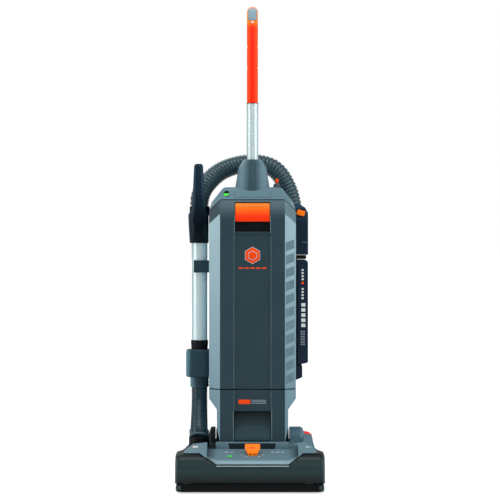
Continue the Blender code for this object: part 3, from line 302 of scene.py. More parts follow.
def woven(name, colour, scale=700.0, fuzz=0.3, depth=0.0006):
    """Nonwoven fabric or filter paper: crossed fibres over soft mottling."""
    made = Surface(name)
    across = made.noise(scale, 3.0, (1.0, 1.0, 0.12))
    upward = made.noise(scale, 3.0, (0.12, 0.12, 1.0))
    fibres = made.math("MAXIMUM", across, upward)
    mottle = made.noise(30.0, 5.0)
    base = made.mix(made.remap(fibres, 0.0, 1.0, 0.45, 0.75), shade(colour, 0.72), colour)
    base = made.mix(made.remap(mottle, 0.0, 0.3), base, shade(colour, 0.8))
    made.wire(base, made.shader.inputs["Base Color"])
    made.set("Roughness", 0.92)
    made.set("Sheen Weight", fuzz)
    made.wire(made.bump(fibres, 0.5, depth), made.shader.inputs["Normal"])
    return made.material


def groove_shaded(name, groove, ridge):
    """A glossy hose plastic with painted shade down in its grooves."""
    made = Surface(name)
    raised = made.add("ShaderNodeNewGeometry").outputs["Pointiness"]
    tone = made.mix(made.remap(raised, 0.0, 1.0, 0.42, 0.54), groove, ridge)
    made.wire(tone, made.shader.inputs["Base Color"])
    made.set("Roughness", 0.26)
    made.set("Coat Weight", 0.45)
    return made.material


def cellular(name, colour):
    """Open-cell foam, with painted shade darkening the hollow of each cell."""
    made = Surface(name)
    cells = made.add("ShaderNodeTexVoronoi")
    cells.inputs["Scale"].default_value = 420.0
    made.wire(made.place, cells.inputs["Vector"])
    # painted shade: darker towards the middle of each cell
    hole = made.remap(cells.outputs["Distance"], 0.0, 1.0, 0.05, 0.6)
    made.wire(made.mix(hole, shade(colour, 0.35), colour), made.shader.inputs["Base Color"])
    made.set("Roughness", 0.95)
    made.wire(made.bump(hole, 0.9, 0.0008), made.shader.inputs["Normal"])
    return made.material


def casing(name):
    """The casing of the upright: slate in front with a darker strip down the middle. Painted light over it:
    the side chamfers are pale partly by their own tone and partly as lit by the side lamps, and paler
    towards the top; the front lightens where the door turns back at its top; and painted shade darkens a
    band where the left chamfer turns back under the cap."""
    made = Surface(name)
    x = made.across()
    z = made.axis("Z")
    out = made.off_middle()
    right = made.remap(x, 0.0, 1.0, -0.02, 0.02)
    # painted light: tone changes with height, standing in for the light from above
    rise = made.remap(z, 0.0, 1.0, 0.20, 0.60)
    chamfer = made.remap(out, 0.0, 1.0, 0.0779, 0.0783)
    high = made.remap(made.math("ADD", z, made.math("MULTIPLY", out, 0.887)), 0.0, 1.0, 0.7288, 0.7296)
    # painted shade: a darker band where the chamfers turn back under the cap, darkest on the left
    band = made.mix(right, (0.045, 0.078, 0.094), (0.150, 0.245, 0.290))
    # the chamfers' paler tone is partly their own and partly painted light from the side lamps
    left_chamfer_lit = made.mix(rise, (0.220, 0.375, 0.450), (0.440, 0.640, 0.710))
    right_chamfer_lit = made.mix(rise, (0.185, 0.335, 0.395), (0.370, 0.560, 0.640))
    side = made.mix(high, made.mix(right, left_chamfer_lit, right_chamfer_lit), band)
    strip = made.remap(out, 1.0, 0.0, 0.0437, 0.0443)
    front = made.mix(rise, SLATE, shade(SLATE, 0.93))
    front = made.mix(strip, front, (0.0150, 0.0410, 0.0540))
    # painted highlight: the front lightens where the door curves back at its top
    front = made.mix(made.remap(z, 0.0, 1.0, 0.645, 0.692), front, (0.085, 0.145, 0.175))
    base = made.mix(chamfer, front, side)
    base = made.speckled(base, (0.10, (0.10, 0.14, 0.16)), (0.15, 0.22, 0.25))
    made.wire(base, made.shader.inputs["Base Color"])
    patchy = made.remap(made.noise(60.0, 4.0), -0.03, 0.03)
    rough = made.math("ADD", made.remap(made.noise(9.0, 5.0), -0.05, 0.06), patchy)
    made.wire(made.math("ADD", rough, 0.46), made.shader.inputs["Roughness"])
    made.wire(made.bump(made.noise(1250.0, 3.0), 0.25, 0.00025), made.shader.inputs["Normal"])
    return made.material


def cover_material():
    """The light cover of the head: paler on its lip, with painted shade darkening the tray's floor towards
    its side walls at both sides.
    """
    made = Surface("cover_grained")
    out = made.off_middle()
    depth = made.math("SUBTRACT", made.axis("Y"), ORIGIN.y)
    lip = made.remap(depth, 1.0, 0.0, -0.1855, -0.1790)
    base = made.mix(lip, (0.138, 0.245, 0.300), (0.300, 0.470, 0.540))
    # painted shade: the tray floor darkens towards the side walls, where the shade falls
    far_side = made.remap(out, 1.0, 0.0, 0.1078, 0.1084)
    well = made.math("MULTIPLY", made.remap(out, 0.0, 1.0, 0.084, 0.1065), far_side)
    base = made.mix(well, base, (0.024, 0.056, 0.072))
    wing = made.remap(out, 0.0, 1.0, 0.1082, 0.1090)
    base = made.mix(wing, base, (0.150, 0.260, 0.315))
    base = made.speckled(base, (0.12, (0.20, 0.28, 0.31)), (0.26, 0.36, 0.40), 16.0)
    return made.finish(base, (9.0, 0.40, 0.50), MOULD_GRAIN)


def cup_material():
    """The wand holder: dark slate, with a painted highlight on the faces that turn to the left."""
    made = Surface("cup_slate")
    # painted highlight: faces turned to the left are lighter
    left = made.remap(made.normal_x(), 1.0, 0.0, -0.98, -0.30)
    base = made.mix(left, (0.022, 0.058, 0.084), (0.150, 0.340, 0.430))
    base = made.speckled(base, (0.2, (0.030, 0.058, 0.072)), None, 18.0)
    return made.finish(base, (12.0, 0.34, 0.44), (1300.0, 3.0, 0.2, 0.0002))


def visor():
    """The hood: dark grey-green, nearly black below, under a satin gloss, with painted light: the grey-green
    is brightest across its rounding, painted shade darkens its foot and its brow, and painted highlights lie
    where it rounds off at both ends.
    """
    made = Surface("hood_satin")
    # painted shade: the hood goes nearly black towards its foot, lighter up its rounding
    rise = made.remap(made.axis("Z"), 0.0, 1.0, 0.020, 0.052)
    base = made.mix(rise, (0.0005, 0.0015, 0.0018), (0.0220, 0.0480, 0.0500))
    # painted shade along the brow at the top edge
    brow = made.remap(made.axis("Z"), 0.0, 1.0, 0.070, 0.088)
    base = made.mix(brow, base, (0.0040, 0.0120, 0.0125))
    # painted highlights where the hood rounds off at both ends
    rim = made.remap(made.off_middle(-0.006), 0.0, 1.0, 0.1695, 0.1765)
    base = made.mix(rim, base, (0.060, 0.100, 0.108))
    made.coated(0.15, 0.25)
    return made.finish(base, (7.0, 0.30, 0.40), (1500.0, 2.0, 0.08, 0.0002))


def chassis():
    """The chassis: mid grey on the right, and near black on the left, behind the hose, where painted shade
    stands in for the hose's shadow.
    """
    made = Surface("chassis_grained")
    x = made.across()
    right = made.remap(x, 0.0, 1.0, -0.02, 0.02)
    above = made.remap(made.axis("Z"), 0.0, 1.0, 0.108, 0.113)
    bearing = made.math("MULTIPLY", made.remap(x, 1.0, 0.0, 0.1164, 0.1170), above)
    right_tone = made.mix(bearing, (0.150, 0.265, 0.325), (0.100, 0.190, 0.250))
    # painted shade: the left side is near black where the hose shades it
    base = made.mix(right, (0.016, 0.030, 0.034), right_tone)
    base = made.speckled(base, (0.12, (0.060, 0.090, 0.105)), None)
    return made.finish(base, (10.0, 0.42, 0.55), MOULD_GRAIN)


def grip_material():
    """Red-orange with painted light: more orange towards the sides, an amber painted highlight under the
    switch where the top rounds over, and a painted glow.
    """
    made = Surface("grip_orange")
    # painted light: the rounded grip's sides are painted more orange, its middle redder
    across = made.remap(made.off_middle(), 0.0, 1.0, 0.0020, 0.0125)
    plain = made.mix(across, (1.0, 0.018, 0.003), (1.0, 0.085, 0.003))
    amber = made.mix(across, (1.0, 0.190, 0.012), (1.0, 0.340, 0.010))
    # painted highlight: an amber zone under the switch where the top rounds over to the light
    zone = made.remap(made.axis("Z"), 0.0, 1.0, 1.1210, 1.1390)
    base = made.mix(zone, plain, amber)
    base = made.speckled(base, (0.18, (0.75, 0.045, 0.008)), None, 25.0)
    # painted glow: the grip shines by itself, though it is no lamp
    made.lit(base, 0.12)
    return made.finish(base, (14.0, 0.34, 0.46), (1100.0, 3.0, 0.2, 0.0003))


def wand_material():
    """Black low down, navy in the bar above, and bluer on the faces that turn away to the sides, a painted
    highlight from the side lamps.
    """
    made = Surface("wand_black_navy")
    # painted highlight: faces turned to the sides are lighter and bluer
    side_lit = made.remap(made.math("ABSOLUTE", made.normal_x()), 0.0, 1.0, 0.25, 0.85)
    rise = made.remap(made.axis("Z"), 0.0, 1.0, 0.630, 0.720)
    low = made.mix(side_lit, (0.0015, 0.0028, 0.0040), (0.010, 0.022, 0.036))
    high = made.mix(side_lit, (0.0080, 0.0210, 0.0370), (0.022, 0.058, 0.100))
    made.set("Specular Tint", (0.55, 0.80, 1.0, 1.0))
    return made.finish(made.mix(rise, low, high), (16.0, 0.28, 0.38), (1300.0, 2.0, 0.15, 0.0002))


SLATE = (0.0185, 0.0480, 0.0660)
# the paler tone of the side chamfers as lit by the side lamps, used as painted light on the cap's sides
SIDE_LIT_PALE = (0.300, 0.430, 0.480)
NAVY = (0.0060, 0.0210, 0.0440)
BLACK = (0.0025, 0.0040, 0.0055)
ORANGE = (1.0, 0.065, 0.003)
# shaded and lit tones of one orange, for the painted light on the latch
SHADED_ORANGE, LIT_ORANGE = (1.0, 0.036, 0.0005), (1.0, 0.300, 0.012)
# painted shade at the top of the motor housing's pocket
POCKET_SHADE = (0.002, 0.005, 0.006)
AMBER = (1.0, 0.190, 0.003)
RED = (0.90, 0.010, 0.005)

MATS = {
    "casing": casing("casing_slate"),
    "slate": moulded("slate_plain", SLATE, 0.45),
    "dark_slate": moulded("slate_dark", (0.010, 0.022, 0.028), 0.5),
    "boot": moulded("boot_rubber", (0.060, 0.088, 0.104), 0.5),
    # painted light: the cap's faces that turn to the sides are paler, as if lit by the side lamps
    "cap": moulded("cap_grained", (0.128, 0.232, 0.282), 0.46, side=shade(SIDE_LIT_PALE, 0.76)),
    "cover": cover_material(),
    "chassis": chassis(),
    "cup": cup_material(),
    "hood": visor(),
    "black": moulded("black_grained", BLACK, 0.40),
    "pit": moulded("pit_black", (0.0015, 0.0035, 0.0045), 0.6, grain=0.1),
    # painted highlight: the navy mouldings lighten towards the top
    "navy": painted_height_light("navy_moulding", NAVY, (0.030, 0.090, 0.150), 0.640, 0.686, 0.36),
    # painted light: the latch runs from shaded orange low down to lit orange at the top, with a painted glow
    "orange": painted_height_light("orange_moulding", SHADED_ORANGE, LIT_ORANGE, 0.655, 0.690, 0.34, glow=0.10),
    # painted glow on the orange, amber and red mouldings, though they are no lamps
    "orange_plain": moulded("orange_grained", ORANGE, 0.36, grain=0.12, glow=0.10),
    "amber": moulded("amber_grained", AMBER, 0.36, grain=0.12, glow=0.22),
    "red": moulded("red_grained", RED, 0.34, grain=0.12, glow=0.35),
    "pale": moulded("pale_grained", (0.29, 0.42, 0.48), 0.4),
    # painted highlights: fine light lines along edges that catch the light
    "edge_highlight": moulded("edge_highlight_pale", (0.150, 0.235, 0.262), 0.38, grain=0.1),
    "trim_bright": moulded("trim_bright", (0.42, 0.52, 0.55), 0.35, grain=0.1),
    "aluminium": metal("aluminium_drawn", (0.74, 0.90, 0.93), 0.38, metallic=0.5),
    "steel": metal("steel_plain", (0.56, 0.57, 0.58), 0.34, (1.0, 0.05, 0.05)),
    "rubber": rubbery("rubber_black", (0.0015, 0.0022, 0.0028)),
    "hub": moulded("hub_grey", (0.10, 0.12, 0.13), 0.45),
    # painted shade: the first colour of each hose is the shade painted into its grooves
    "hose": groove_shaded("hose_slate", (0.006, 0.018, 0.024), (0.066, 0.130, 0.158)),
    "hose_low": groove_shaded("hose_low_slate", (0.002, 0.008, 0.012), (0.024, 0.066, 0.090)),
    "green": lens("green_lens", (0.06, 0.85, 0.05), 0.55),
    "bag": woven("bag_fabric", (0.80, 0.79, 0.75)),
    "board": woven("filter_board", (0.62, 0.50, 0.36), 300.0, 0.1),
    "media": woven("filter_media", (0.84, 0.86, 0.84), 500.0, 0.1),
    "foam": cellular("foam_cells", (0.13, 0.14, 0.15)),
    "cord": rubbery("cord_orange", (0.80, 0.06, 0.01), 0.45),
    "bristle": woven("bristle_fibre", (0.030, 0.030, 0.034), 900.0, 0.2),
    "print_dark": moulded("print_dark", (0.118, 0.205, 0.245), 0.5, grain=0.1),
    "print_white": moulded("print_white", (0.78, 0.82, 0.84), 0.5, grain=0.1),
    "print_grey": moulded("print_grey", (0.22, 0.28, 0.32), 0.5, grain=0.1),
    "satin": metal("satin_disc", (0.42, 0.45, 0.47), 0.38, (0.02, 1.0, 1.0), 0.8),
    "grip": grip_material(),
    "wand_black": wand_material(),
    "hose_ring": groove_shaded("hose_ring_slate", (0.008, 0.022, 0.030), (0.090, 0.170, 0.205)),
    "seam": moulded("seam_slate", (0.030, 0.062, 0.078), 0.6, grain=0.1),
    # painted shade: the motor housing's pocket darkens towards its top
    "pocket": painted_height_light("pocket_painted_shade", (0.040, 0.085, 0.104), POCKET_SHADE, 0.130, 0.182, 0.5, coat=0.0),
    "guard_end": moulded("guard_end_grey", (0.040, 0.062, 0.074), 0.45),
    # painted light: the cone's faces that turn to the sides are paler
    "socket": moulded("socket_grained", (0.028, 0.068, 0.088), 0.44, side=(0.165, 0.285, 0.340)),
}


# ---- carried-over solids ----

FINISH = {
    "casing": "bag_door lower_housing bag_housing",
    "slate": "wand_clip",
    "chassis": "head_base",
    "cup": "wand_cup",
    "cover": "head_cover",
    "cap": "top_cap",
    "hood": "brush_hood",
    "black": "bottom_cover brush_end_cap_left brush_end_cap_right hose_port brush_roll wheel_carriage"
    " motor_cradle filter_frame cord_hook_lower cord_hook_upper wand_collar wand_handle",
    "navy": "hose_connector filter_duct filter_cover",
    "orange": "door_latch",
    "orange_plain": "handle_grip mode_toggle",
    "amber": "hose_button height_knob",
    "red": "release_pedal",
    "pale": "power_switch",
    "boot": "toggle_boot",
    "aluminium": "handle_tube motor_fan wand_tube",
    "steel": "sole_plate brush_motor rear_axle pivot_pin_left pivot_pin_right motor_pulley vacuum_motor",
    "rubber": "furniture_guard drive_belt rear_wheel_left rear_wheel_right front_wheel_left"
    " front_wheel_right door_seal",
    "hose": "hose lower_hose",
    "green": "head_indicator bag_indicator",
    "bag": "filter_bag",
    "board": "bag_collar",
    "media": "hepa_filter",
    "foam": "pre_filter",
    "cord": "power_cord",
    "socket": "handle_socket",
}

SHARP = math.radians(32)


def rounded(piece, width):
    """Merges the imported corners, clears the triangles of flat faces, and rounds the sharp edges."""
    piece.modifiers.new("merge", "WELD").merge_threshold = 0.00002
    flat = piece.modifiers.new("flat", "DECIMATE")
    flat.decimate_type = "DISSOLVE"
    flat.angle_limit = math.radians(0.6)
    edge = piece.modifiers.new("edges", "BEVEL")
    edge.width = width
    edge.segments = 2
    edge.limit_method = "ANGLE"
    edge.angle_limit = SHARP
    piece.modifiers.new("shading", "WEIGHTED_NORMAL").keep_sharp = True
    for face in piece.data.polygons:
        face.use_smooth = True


ROUNDING = {
    "bag_door": 0.0012, "lower_housing": 0.0012, "top_cap": 0.0012, "head_cover": 0.0012,
    "door_latch": 0.0026, "head_base": 0.0016, "furniture_guard": 0.0014, "filter_cover": 0.0022,
    "hose_connector": 0.0022, "wand_clip": 0.0026, "release_pedal": 0.0012, "filter_duct": 0.0015,
    "height_knob": 0.0012,
}
TURNED = (
    "handle_tube", "wand_tube", "wand_collar", "rear_axle", "pivot_pin_left", "pivot_pin_right",
    "bag_indicator",
)


def dress_cad():
    for slot, names in FINISH.items():
        for name in names.split():
            piece = NODES[name]
            piece.data.materials.clear()
            piece.data.materials.append(MATS[slot])
            rounded(piece, 0.0003 if name in TURNED else ROUNDING.get(name, 0.0007))


# ---- mesh tools ----


def piece_from(name, bm, slot, body, replaces=(), smooth=35):
    """A new piece from a bmesh measured from the recline axis's foot, riding on a body."""
    bmesh.ops.recalc_face_normals(bm, faces=bm.faces)
    bmesh.ops.translate(bm, vec=ORIGIN, verts=bm.verts)
    mesh = bpy.data.meshes.new(name)
    bm.to_mesh(mesh)
    bm.free()
    piece = bpy.data.objects.new(name, mesh)
    bpy.context.scene.collection.objects.link(piece)
    mesh.materials.append(MATS[slot])
    mesh.shade_smooth()
    if smooth:
        mesh.set_sharp_from_angle(angle=math.radians(smooth))
    if replaces:
        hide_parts(*replaces)
    if body:
        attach(piece, body)
    return piece


def skinned(rings, closed=False, caps=True):
    """A bmesh over rings of points, each ring joined to the next."""
    bm = bmesh.new()
    rows = [[bm.verts.new(p) for p in ring] for ring in rings]
    pairs = list(zip(rows, rows[1:])) + ([(rows[-1], rows[0])] if closed else [])
    for first, second in pairs:
        for i in range(len(first)):
            j = (i + 1) % len(first)
            bm.faces.new((first[i], first[j], second[j], second[i]))
    if caps and not closed:
        bm.faces.new(rows[0])
        bm.faces.new(list(reversed(rows[-1])))
    return bm


def ellipse(x, y, z, x_half, y_half, steps=48, power=2.0):
    """Points round an ellipse, or round a squarer oval with a power over 2."""
    points = []
    for i in range(steps):
        turn = 2 * math.pi * i / steps
        c, s = math.cos(turn), math.sin(turn)
        round_c = math.copysign(abs(c) ** (2 / power), c)
        round_s = math.copysign(abs(s) ** (2 / power), s)
        points.append((x + x_half * round_c, y + y_half * round_s, z))
    return points


def smooth_path(knots, spacing):
    """Evenly spaced points on a Catmull-Rom curve through the knots."""
    knots = [Vector(k) for k in knots]
    ends = [2 * knots[0] - knots[1], *knots, 2 * knots[-1] - knots[-2]]
    fine = []
    for a, b, c, d in zip(ends, ends[1:], ends[2:], ends[3:]):
        for step in range(40):
            t = step / 40
            square, cube = 2 * a - 5 * b + 4 * c - d, 3 * b - a - 3 * c + d
            fine.append(0.5 * (2 * b + (c - a) * t + square * t**2 + cube * t**3))
    fine.append(knots[-1])
    lengths = [0.0]
    for p, q in zip(fine, fine[1:]):
        lengths.append(lengths[-1] + (q - p).length)
    count = max(2, round(lengths[-1] / spacing))
    points, k = [], 0
    for i in range(count + 1):
        want = lengths[-1] * i / count
        while k < len(fine) - 2 and lengths[k + 1] < want:
            k += 1
        span = lengths[k + 1] - lengths[k]
        points.append(fine[k].lerp(fine[k + 1], (want - lengths[k]) / span if span else 0))
    return points


def tube(path, radius_at, sides, closed=False):
    """Rings along a path. radius_at gives the radius from the distance along it."""
    side = Vector((1, 0, 0))
    rings, run = [], 0.0
    last = len(path) - 1
    for i, point in enumerate(path):
        if closed:
            ahead = (path[(i + 1) % len(path)] - path[i - 1]).normalized()
        else:
            ahead = (path[min(i + 1, last)] - path[max(i - 1, 0)]).normalized()
        if i:
            run += (point - path[i - 1]).length
        side = (side - side.dot(ahead) * ahead).normalized()
        other = ahead.cross(side)
        r = radius_at(run)
        turns = [2 * math.pi * k / sides for k in range(sides)]
        rings.append([point + r * (math.cos(t) * side + math.sin(t) * other) for t in turns])
    return skinned(rings, closed)


def turned(centre, profile, steps=64, axis="Z"):
    """A solid of revolution from (along, radius) points."""
    order = {"Z": (0, 1, 2), "X": (1, 2, 0), "Y": (2, 0, 1)}[axis]
    rings = []
    for along, radius in profile:
        ring = []
        for i in range(steps):
            turn = 2 * math.pi * i / steps
            co = [0.0, 0.0, 0.0]
            co[order[0]] = radius * math.cos(turn)
            co[order[1]] = radius * math.sin(turn)
            co[order[2]] = along
            ring.append(Vector(centre) + Vector(co))
        rings.append(ring)
    return skinned(rings)


def block(x0, x1, y0, y1, z0, z1, bevel=0.0):
    bm = bmesh.new()
    bmesh.ops.create_cube(bm, size=1.0)
    size = Vector((x1 - x0, y1 - y0, z1 - z0))
    middle = Vector(((x0 + x1) / 2, (y0 + y1) / 2, (z0 + z1) / 2))
    for v in bm.verts:
        v.co = Vector(a * b for a, b in zip(v.co, size)) + middle
    return softened(bm, bevel)


def softened(bm, bevel):
    """Rounds all the edges of a shape."""
    if bevel:
        bmesh.ops.bevel(bm, geom=bm.edges[:], offset=bevel, segments=2, profile=0.5, affect="EDGES")
    return bm


def merged(*parts):
    whole = bmesh.new()
    for part in parts:
        mesh = bpy.data.meshes.new("part")
        part.to_mesh(mesh)
        part.free()
        whole.from_mesh(mesh)
        bpy.data.meshes.remove(mesh)
    return whole


def prism(outline, y0, y1, bevel=0.0):
    """An outline in x and z, extruded along y."""
    bm = slab([(x, y0, z) for x, z in outline], (0, y1 - y0, 0))
    bmesh.ops.recalc_face_normals(bm, faces=bm.faces)
    return softened(bm, bevel)


def sheet(rows):
    """An open surface over rows of points, each row as long as the next."""
    bm = bmesh.new()
    grid = [[bm.verts.new(p) for p in row] for row in rows]
    for first, second in zip(grid, grid[1:]):
        for i in range(len(first) - 1):
            bm.faces.new((first[i], first[i + 1], second[i + 1], second[i]))
    return bm


def thicken(piece, thickness, offset):
    wall = piece.modifiers.new("thickness", "SOLIDIFY")
    wall.thickness = thickness
    wall.offset = offset


def moved(bm, matrix):
    bmesh.ops.transform(bm, matrix=matrix, verts=bm.verts)
    return bm


def slab(points, offset):
    """A thin plate between a polygon and the same polygon moved by an offset."""
    bm = bmesh.new()
    near = [bm.verts.new(Vector(p)) for p in points]
    far = [bm.verts.new(Vector(p) + Vector(offset)) for p in points]
    bm.faces.new(near)
    bm.faces.new(list(reversed(far)))
    for i in range(len(points)):
        j = (i + 1) % len(points)
        bm.faces.new((near[i], far[i], far[j], near[j]))
    return bm


def surface_of(name):
    """A node's own surface, to lay a mark on."""
    return BVHTree.FromPolygons(*polygons_of(NODES[name].data))


def polygons_of(mesh):
    return [v.co.copy() for v in mesh.vertices], [tuple(f.vertices) for f in mesh.polygons]


def laid(tree, points, aim=(0, 1, 0), lift=0.00022, sink=0.0004):
    """A thin plate whose corners lie on a surface, met along aim from points before it. Points in x and z
    alone are taken well in front of the machine."""
    aim = Vector(aim).normalized()
    corners = []
    for point in points:
        place = point if len(point) == 3 else (point[0], -0.5, point[1])
        start = ORIGIN + Vector(place) - 0.3 * aim
        hit = tree.ray_cast(start, aim)[0]
        corners.append(hit - ORIGIN - lift * aim)
    return slab(corners, (lift + sink) * aim)


def outline_round(cx, cz, half_x, half_z, corner):
    """The corners of a rounded rectangle in x and z."""
    points = []
    for sx, sz, first in ((1, 1, 0), (-1, 1, 90), (-1, -1, 180), (1, -1, 270)):
        for k in range(5):
            turn = math.radians(first + 22.5 * k)
            x = cx + sx * (half_x - corner) + corner * math.cos(turn)
            points.append((x, cz + sz * (half_z - corner) + corner * math.sin(turn)))
    return points


def hexagon(cx, cz, radius):
    """A hexagon in x and z, with a corner at the top."""
    turns = [math.radians(90 + 60 * k) for k in range(6)]
    return [(cx + radius * math.cos(t), cz + radius * math.sin(t)) for t in turns]


def patch(x0, x1, z0, z1):
    return [(x0, z0), (x1, z0), (x1, z1), (x0, z1)]


def screw_head(x, y, z, radius=0.0036):
    """A pan-head screw with a cross recess, facing the rear."""
    dome = [
        (-0.0004, radius), (0.0006, radius), (0.0013, radius * 0.82), (0.0015, radius * 0.5),
        (0.0015, 0.0001),
    ]
    long, short = 0.0018, 0.00045
    bars = [block(-a, a, -b, b, 0.0012, 0.00158) for a, b in ((long, short), (short, long))]
    place = Matrix.Translation((x, y, z)) @ Matrix.Rotation(math.radians(-90), 4, "X")
    return [moved(part, place) for part in [turned((0, 0, 0), dome, 24)] + bars]


# ---- hoses and cord ----

LONG_PITCH, LOW_PITCH = 0.0088, 0.0054


def banded(radius, groove, ridge, pitch):
    """The radius of a wire-wound hose: bands, with a sharp groove and the wire's ridge between them."""

    def at(run):
        phase = (run / pitch) % 1.0
        hollow = groove * abs(2 * phase - 1) ** 5
        return radius - hollow + ridge * math.exp(-(((phase - 0.78) / 0.12) ** 2))

    return at


def long_hose():
    """The wire-wound hose over the back, with a smooth cuff at each end."""
    knots = [
        (-0.130, 0.030, 0.666), (-0.1297, 0.0303, 0.700), (-0.1165, 0.046, 0.732),
        (-0.0810, 0.074, 0.7675), (-0.0313, 0.090, 0.7865), (0.0210, 0.095, 0.7883),
        (0.0600, 0.099, 0.7715), (0.0870, 0.103, 0.731), (0.1005, 0.105, 0.684), (0.103, 0.105, 0.644),
    ]
    path = smooth_path(knots, LONG_PITCH / 12)
    hose = tube(path, banded(0.0224, 0.0036, 0.0013, LONG_PITCH), 44)
    piece = piece_from("wire_hose", hose, "hose", None, ["hose"], 0)
    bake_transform(piece)
    cuff = [(0.658, 0.0238), (0.6655, 0.0249), (0.676, 0.0249), (0.6800, 0.0242), (0.680, 0.0225)]
    piece_from("hose_cuff_wand", turned((-0.130, 0.030, 0), cuff, 48), "black", "wand")
    cuff = [(0.6505, 0.0240), (0.6525, 0.0262), (0.664, 0.0262), (0.6690, 0.0250), (0.672, 0.0226)]
    piece_from("hose_cuff_elbow", turned((0.103, 0.105, 0), cuff, 48), "black", "upright")


def short_hose():
    """The lower hose: its ribs fade out downwards, and a ringed swivel leans back over the port."""
    knots = [
        (-0.1296, -0.005, 0.2400), (-0.1296, -0.0065, 0.205), (-0.1296, -0.0245, 0.168),
        (-0.1296, -0.0440, 0.140),
    ]
    path = smooth_path(knots + [(-0.1296, -0.0480, 0.1280)], 0.0007)

    def radius(run):
        grown = 0.0194 + 0.0018 * min(1.0, max(0.0, run - 0.0545) / 0.0605)
        depth = 1 - 0.6 * min(1.0, run / 0.1)
        return banded(grown, 0.0030 * depth, 0.0006 * depth, LOW_PITCH)(run)

    piece = piece_from("lower_hose_shaped", tube(path, radius, 44), "hose_low", None, ["lower_hose"], 0)
    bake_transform(piece)
    lean = Matrix.Translation((-0.1296, -0.0450, 0.1255)) @ Matrix.Rotation(math.radians(-34), 4, "X")
    rings = [(-0.0090, 0.0170), (-0.0090, 0.0222)]
    for k in range(3):
        z = -0.0078 + 0.0072 * k
        rings += [
            (z, 0.0226 + 0.0003 * k), (z + 0.0012, 0.0236 + 0.0003 * k),
            (z + 0.0026, 0.0236 + 0.0003 * k),
        ]
        rings += [(z + 0.0038, 0.0224 + 0.0003 * k), (z + 0.0060, 0.0218)]
    swivel = turned((0, 0, 0), [(z, min(r, 0.0241)) for z, r in rings[:-1]] + [(0.0110, 0.0170)], 56)
    piece_from("hose_swivel", moved(swivel, lean), "hose_ring", "head")
    # painted shade: a near-black ring stands in for the shade down in the port's opening
    throat = turned((-0.1296, -0.0500, 0), [(0.1180, 0.0205), (0.1225, 0.0228), (0.1140, 0.0232)], 40)
    piece_from("hose_throat_shade", throat, "pit", "head")


def wound_cord():
    """The cord wound on its two hooks: three layers of turns, each a little out of line."""
    random.seed(7)
    top_z, bottom_z = 0.552, 0.258
    cords = []
    for radius in (0.0185, 0.0255, 0.0325):
        for turn in range(3):
            y = 0.0855 + 0.0074 * turn
            knots = []
            for end, centre_z, first in ((1, top_z, 0), (-1, bottom_z, 180)):
                for step in range(9):
                    angle = math.radians(first + 22.5 * step)
                    out = radius + random.uniform(-0.0006, 0.0006)
                    side = y + random.uniform(-0.0003, 0.0003)
                    knots.append(
                        Vector((out * math.cos(angle), side, centre_z + out * math.sin(angle)))
                    )
                for step in range(1, 6):
                    z = centre_z + (bottom_z - top_z) * step / 6 * end
                    sag = random.uniform(-0.0011, 0.0011)
                    knots.append(Vector((sag - end * radius, y + random.uniform(-0.0006, 0.0006), z)))
            cords.append(tube(knots, lambda run: 0.0037, 12, closed=True))
    cord = piece_from("wound_cord", merged(*cords), "cord", "upright", ["power_cord"], 0)
    pins = [block(x, x + 0.0015, 0.0975, 0.1025, 0.424, 0.442) for x in (-0.0060, 0.0045)]
    piece_from("plug_pins", merged(*pins), "steel", "upright")
    plug = [
        (0.385, 0.0050, 0.0040), (0.388, 0.0070, 0.0055), (0.405, 0.0095, 0.0058),
        (0.412, 0.0115, 0.0062), (0.422, 0.0115, 0.0062), (0.4245, 0.0105, 0.0052),
    ]
    rings = [ellipse(0, 0.1000, z, a, b, 40, 3.0) for z, a, b in plug]
    piece_from("cord_plug", skinned(rings), "black", "upright")


# ---- handle ----

TUBE_Y = 0.022
GRIP_LOW, GRIP_HIGH = 0.9345, 1.1738


def grip_middle(z):
    return TUBE_Y + 0.030 * max(0.0, (z - 0.934) / 0.240) ** 2


def cutter(name, bm, target):
    """Cuts a shape out of a piece that is made here."""
    tool = piece_from(name, bm, "black", None)
    hole = target.modifiers.new(name, "BOOLEAN")
    hole.object = tool
    hole.operation = "DIFFERENCE"
    hole.solver = "EXACT"
    graph = bpy.context.evaluated_depsgraph_get()
    mesh = bpy.data.meshes.new_from_object(target.evaluated_get(graph))
    target.modifiers.clear()
    target.data = mesh
    bpy.data.objects.remove(tool)


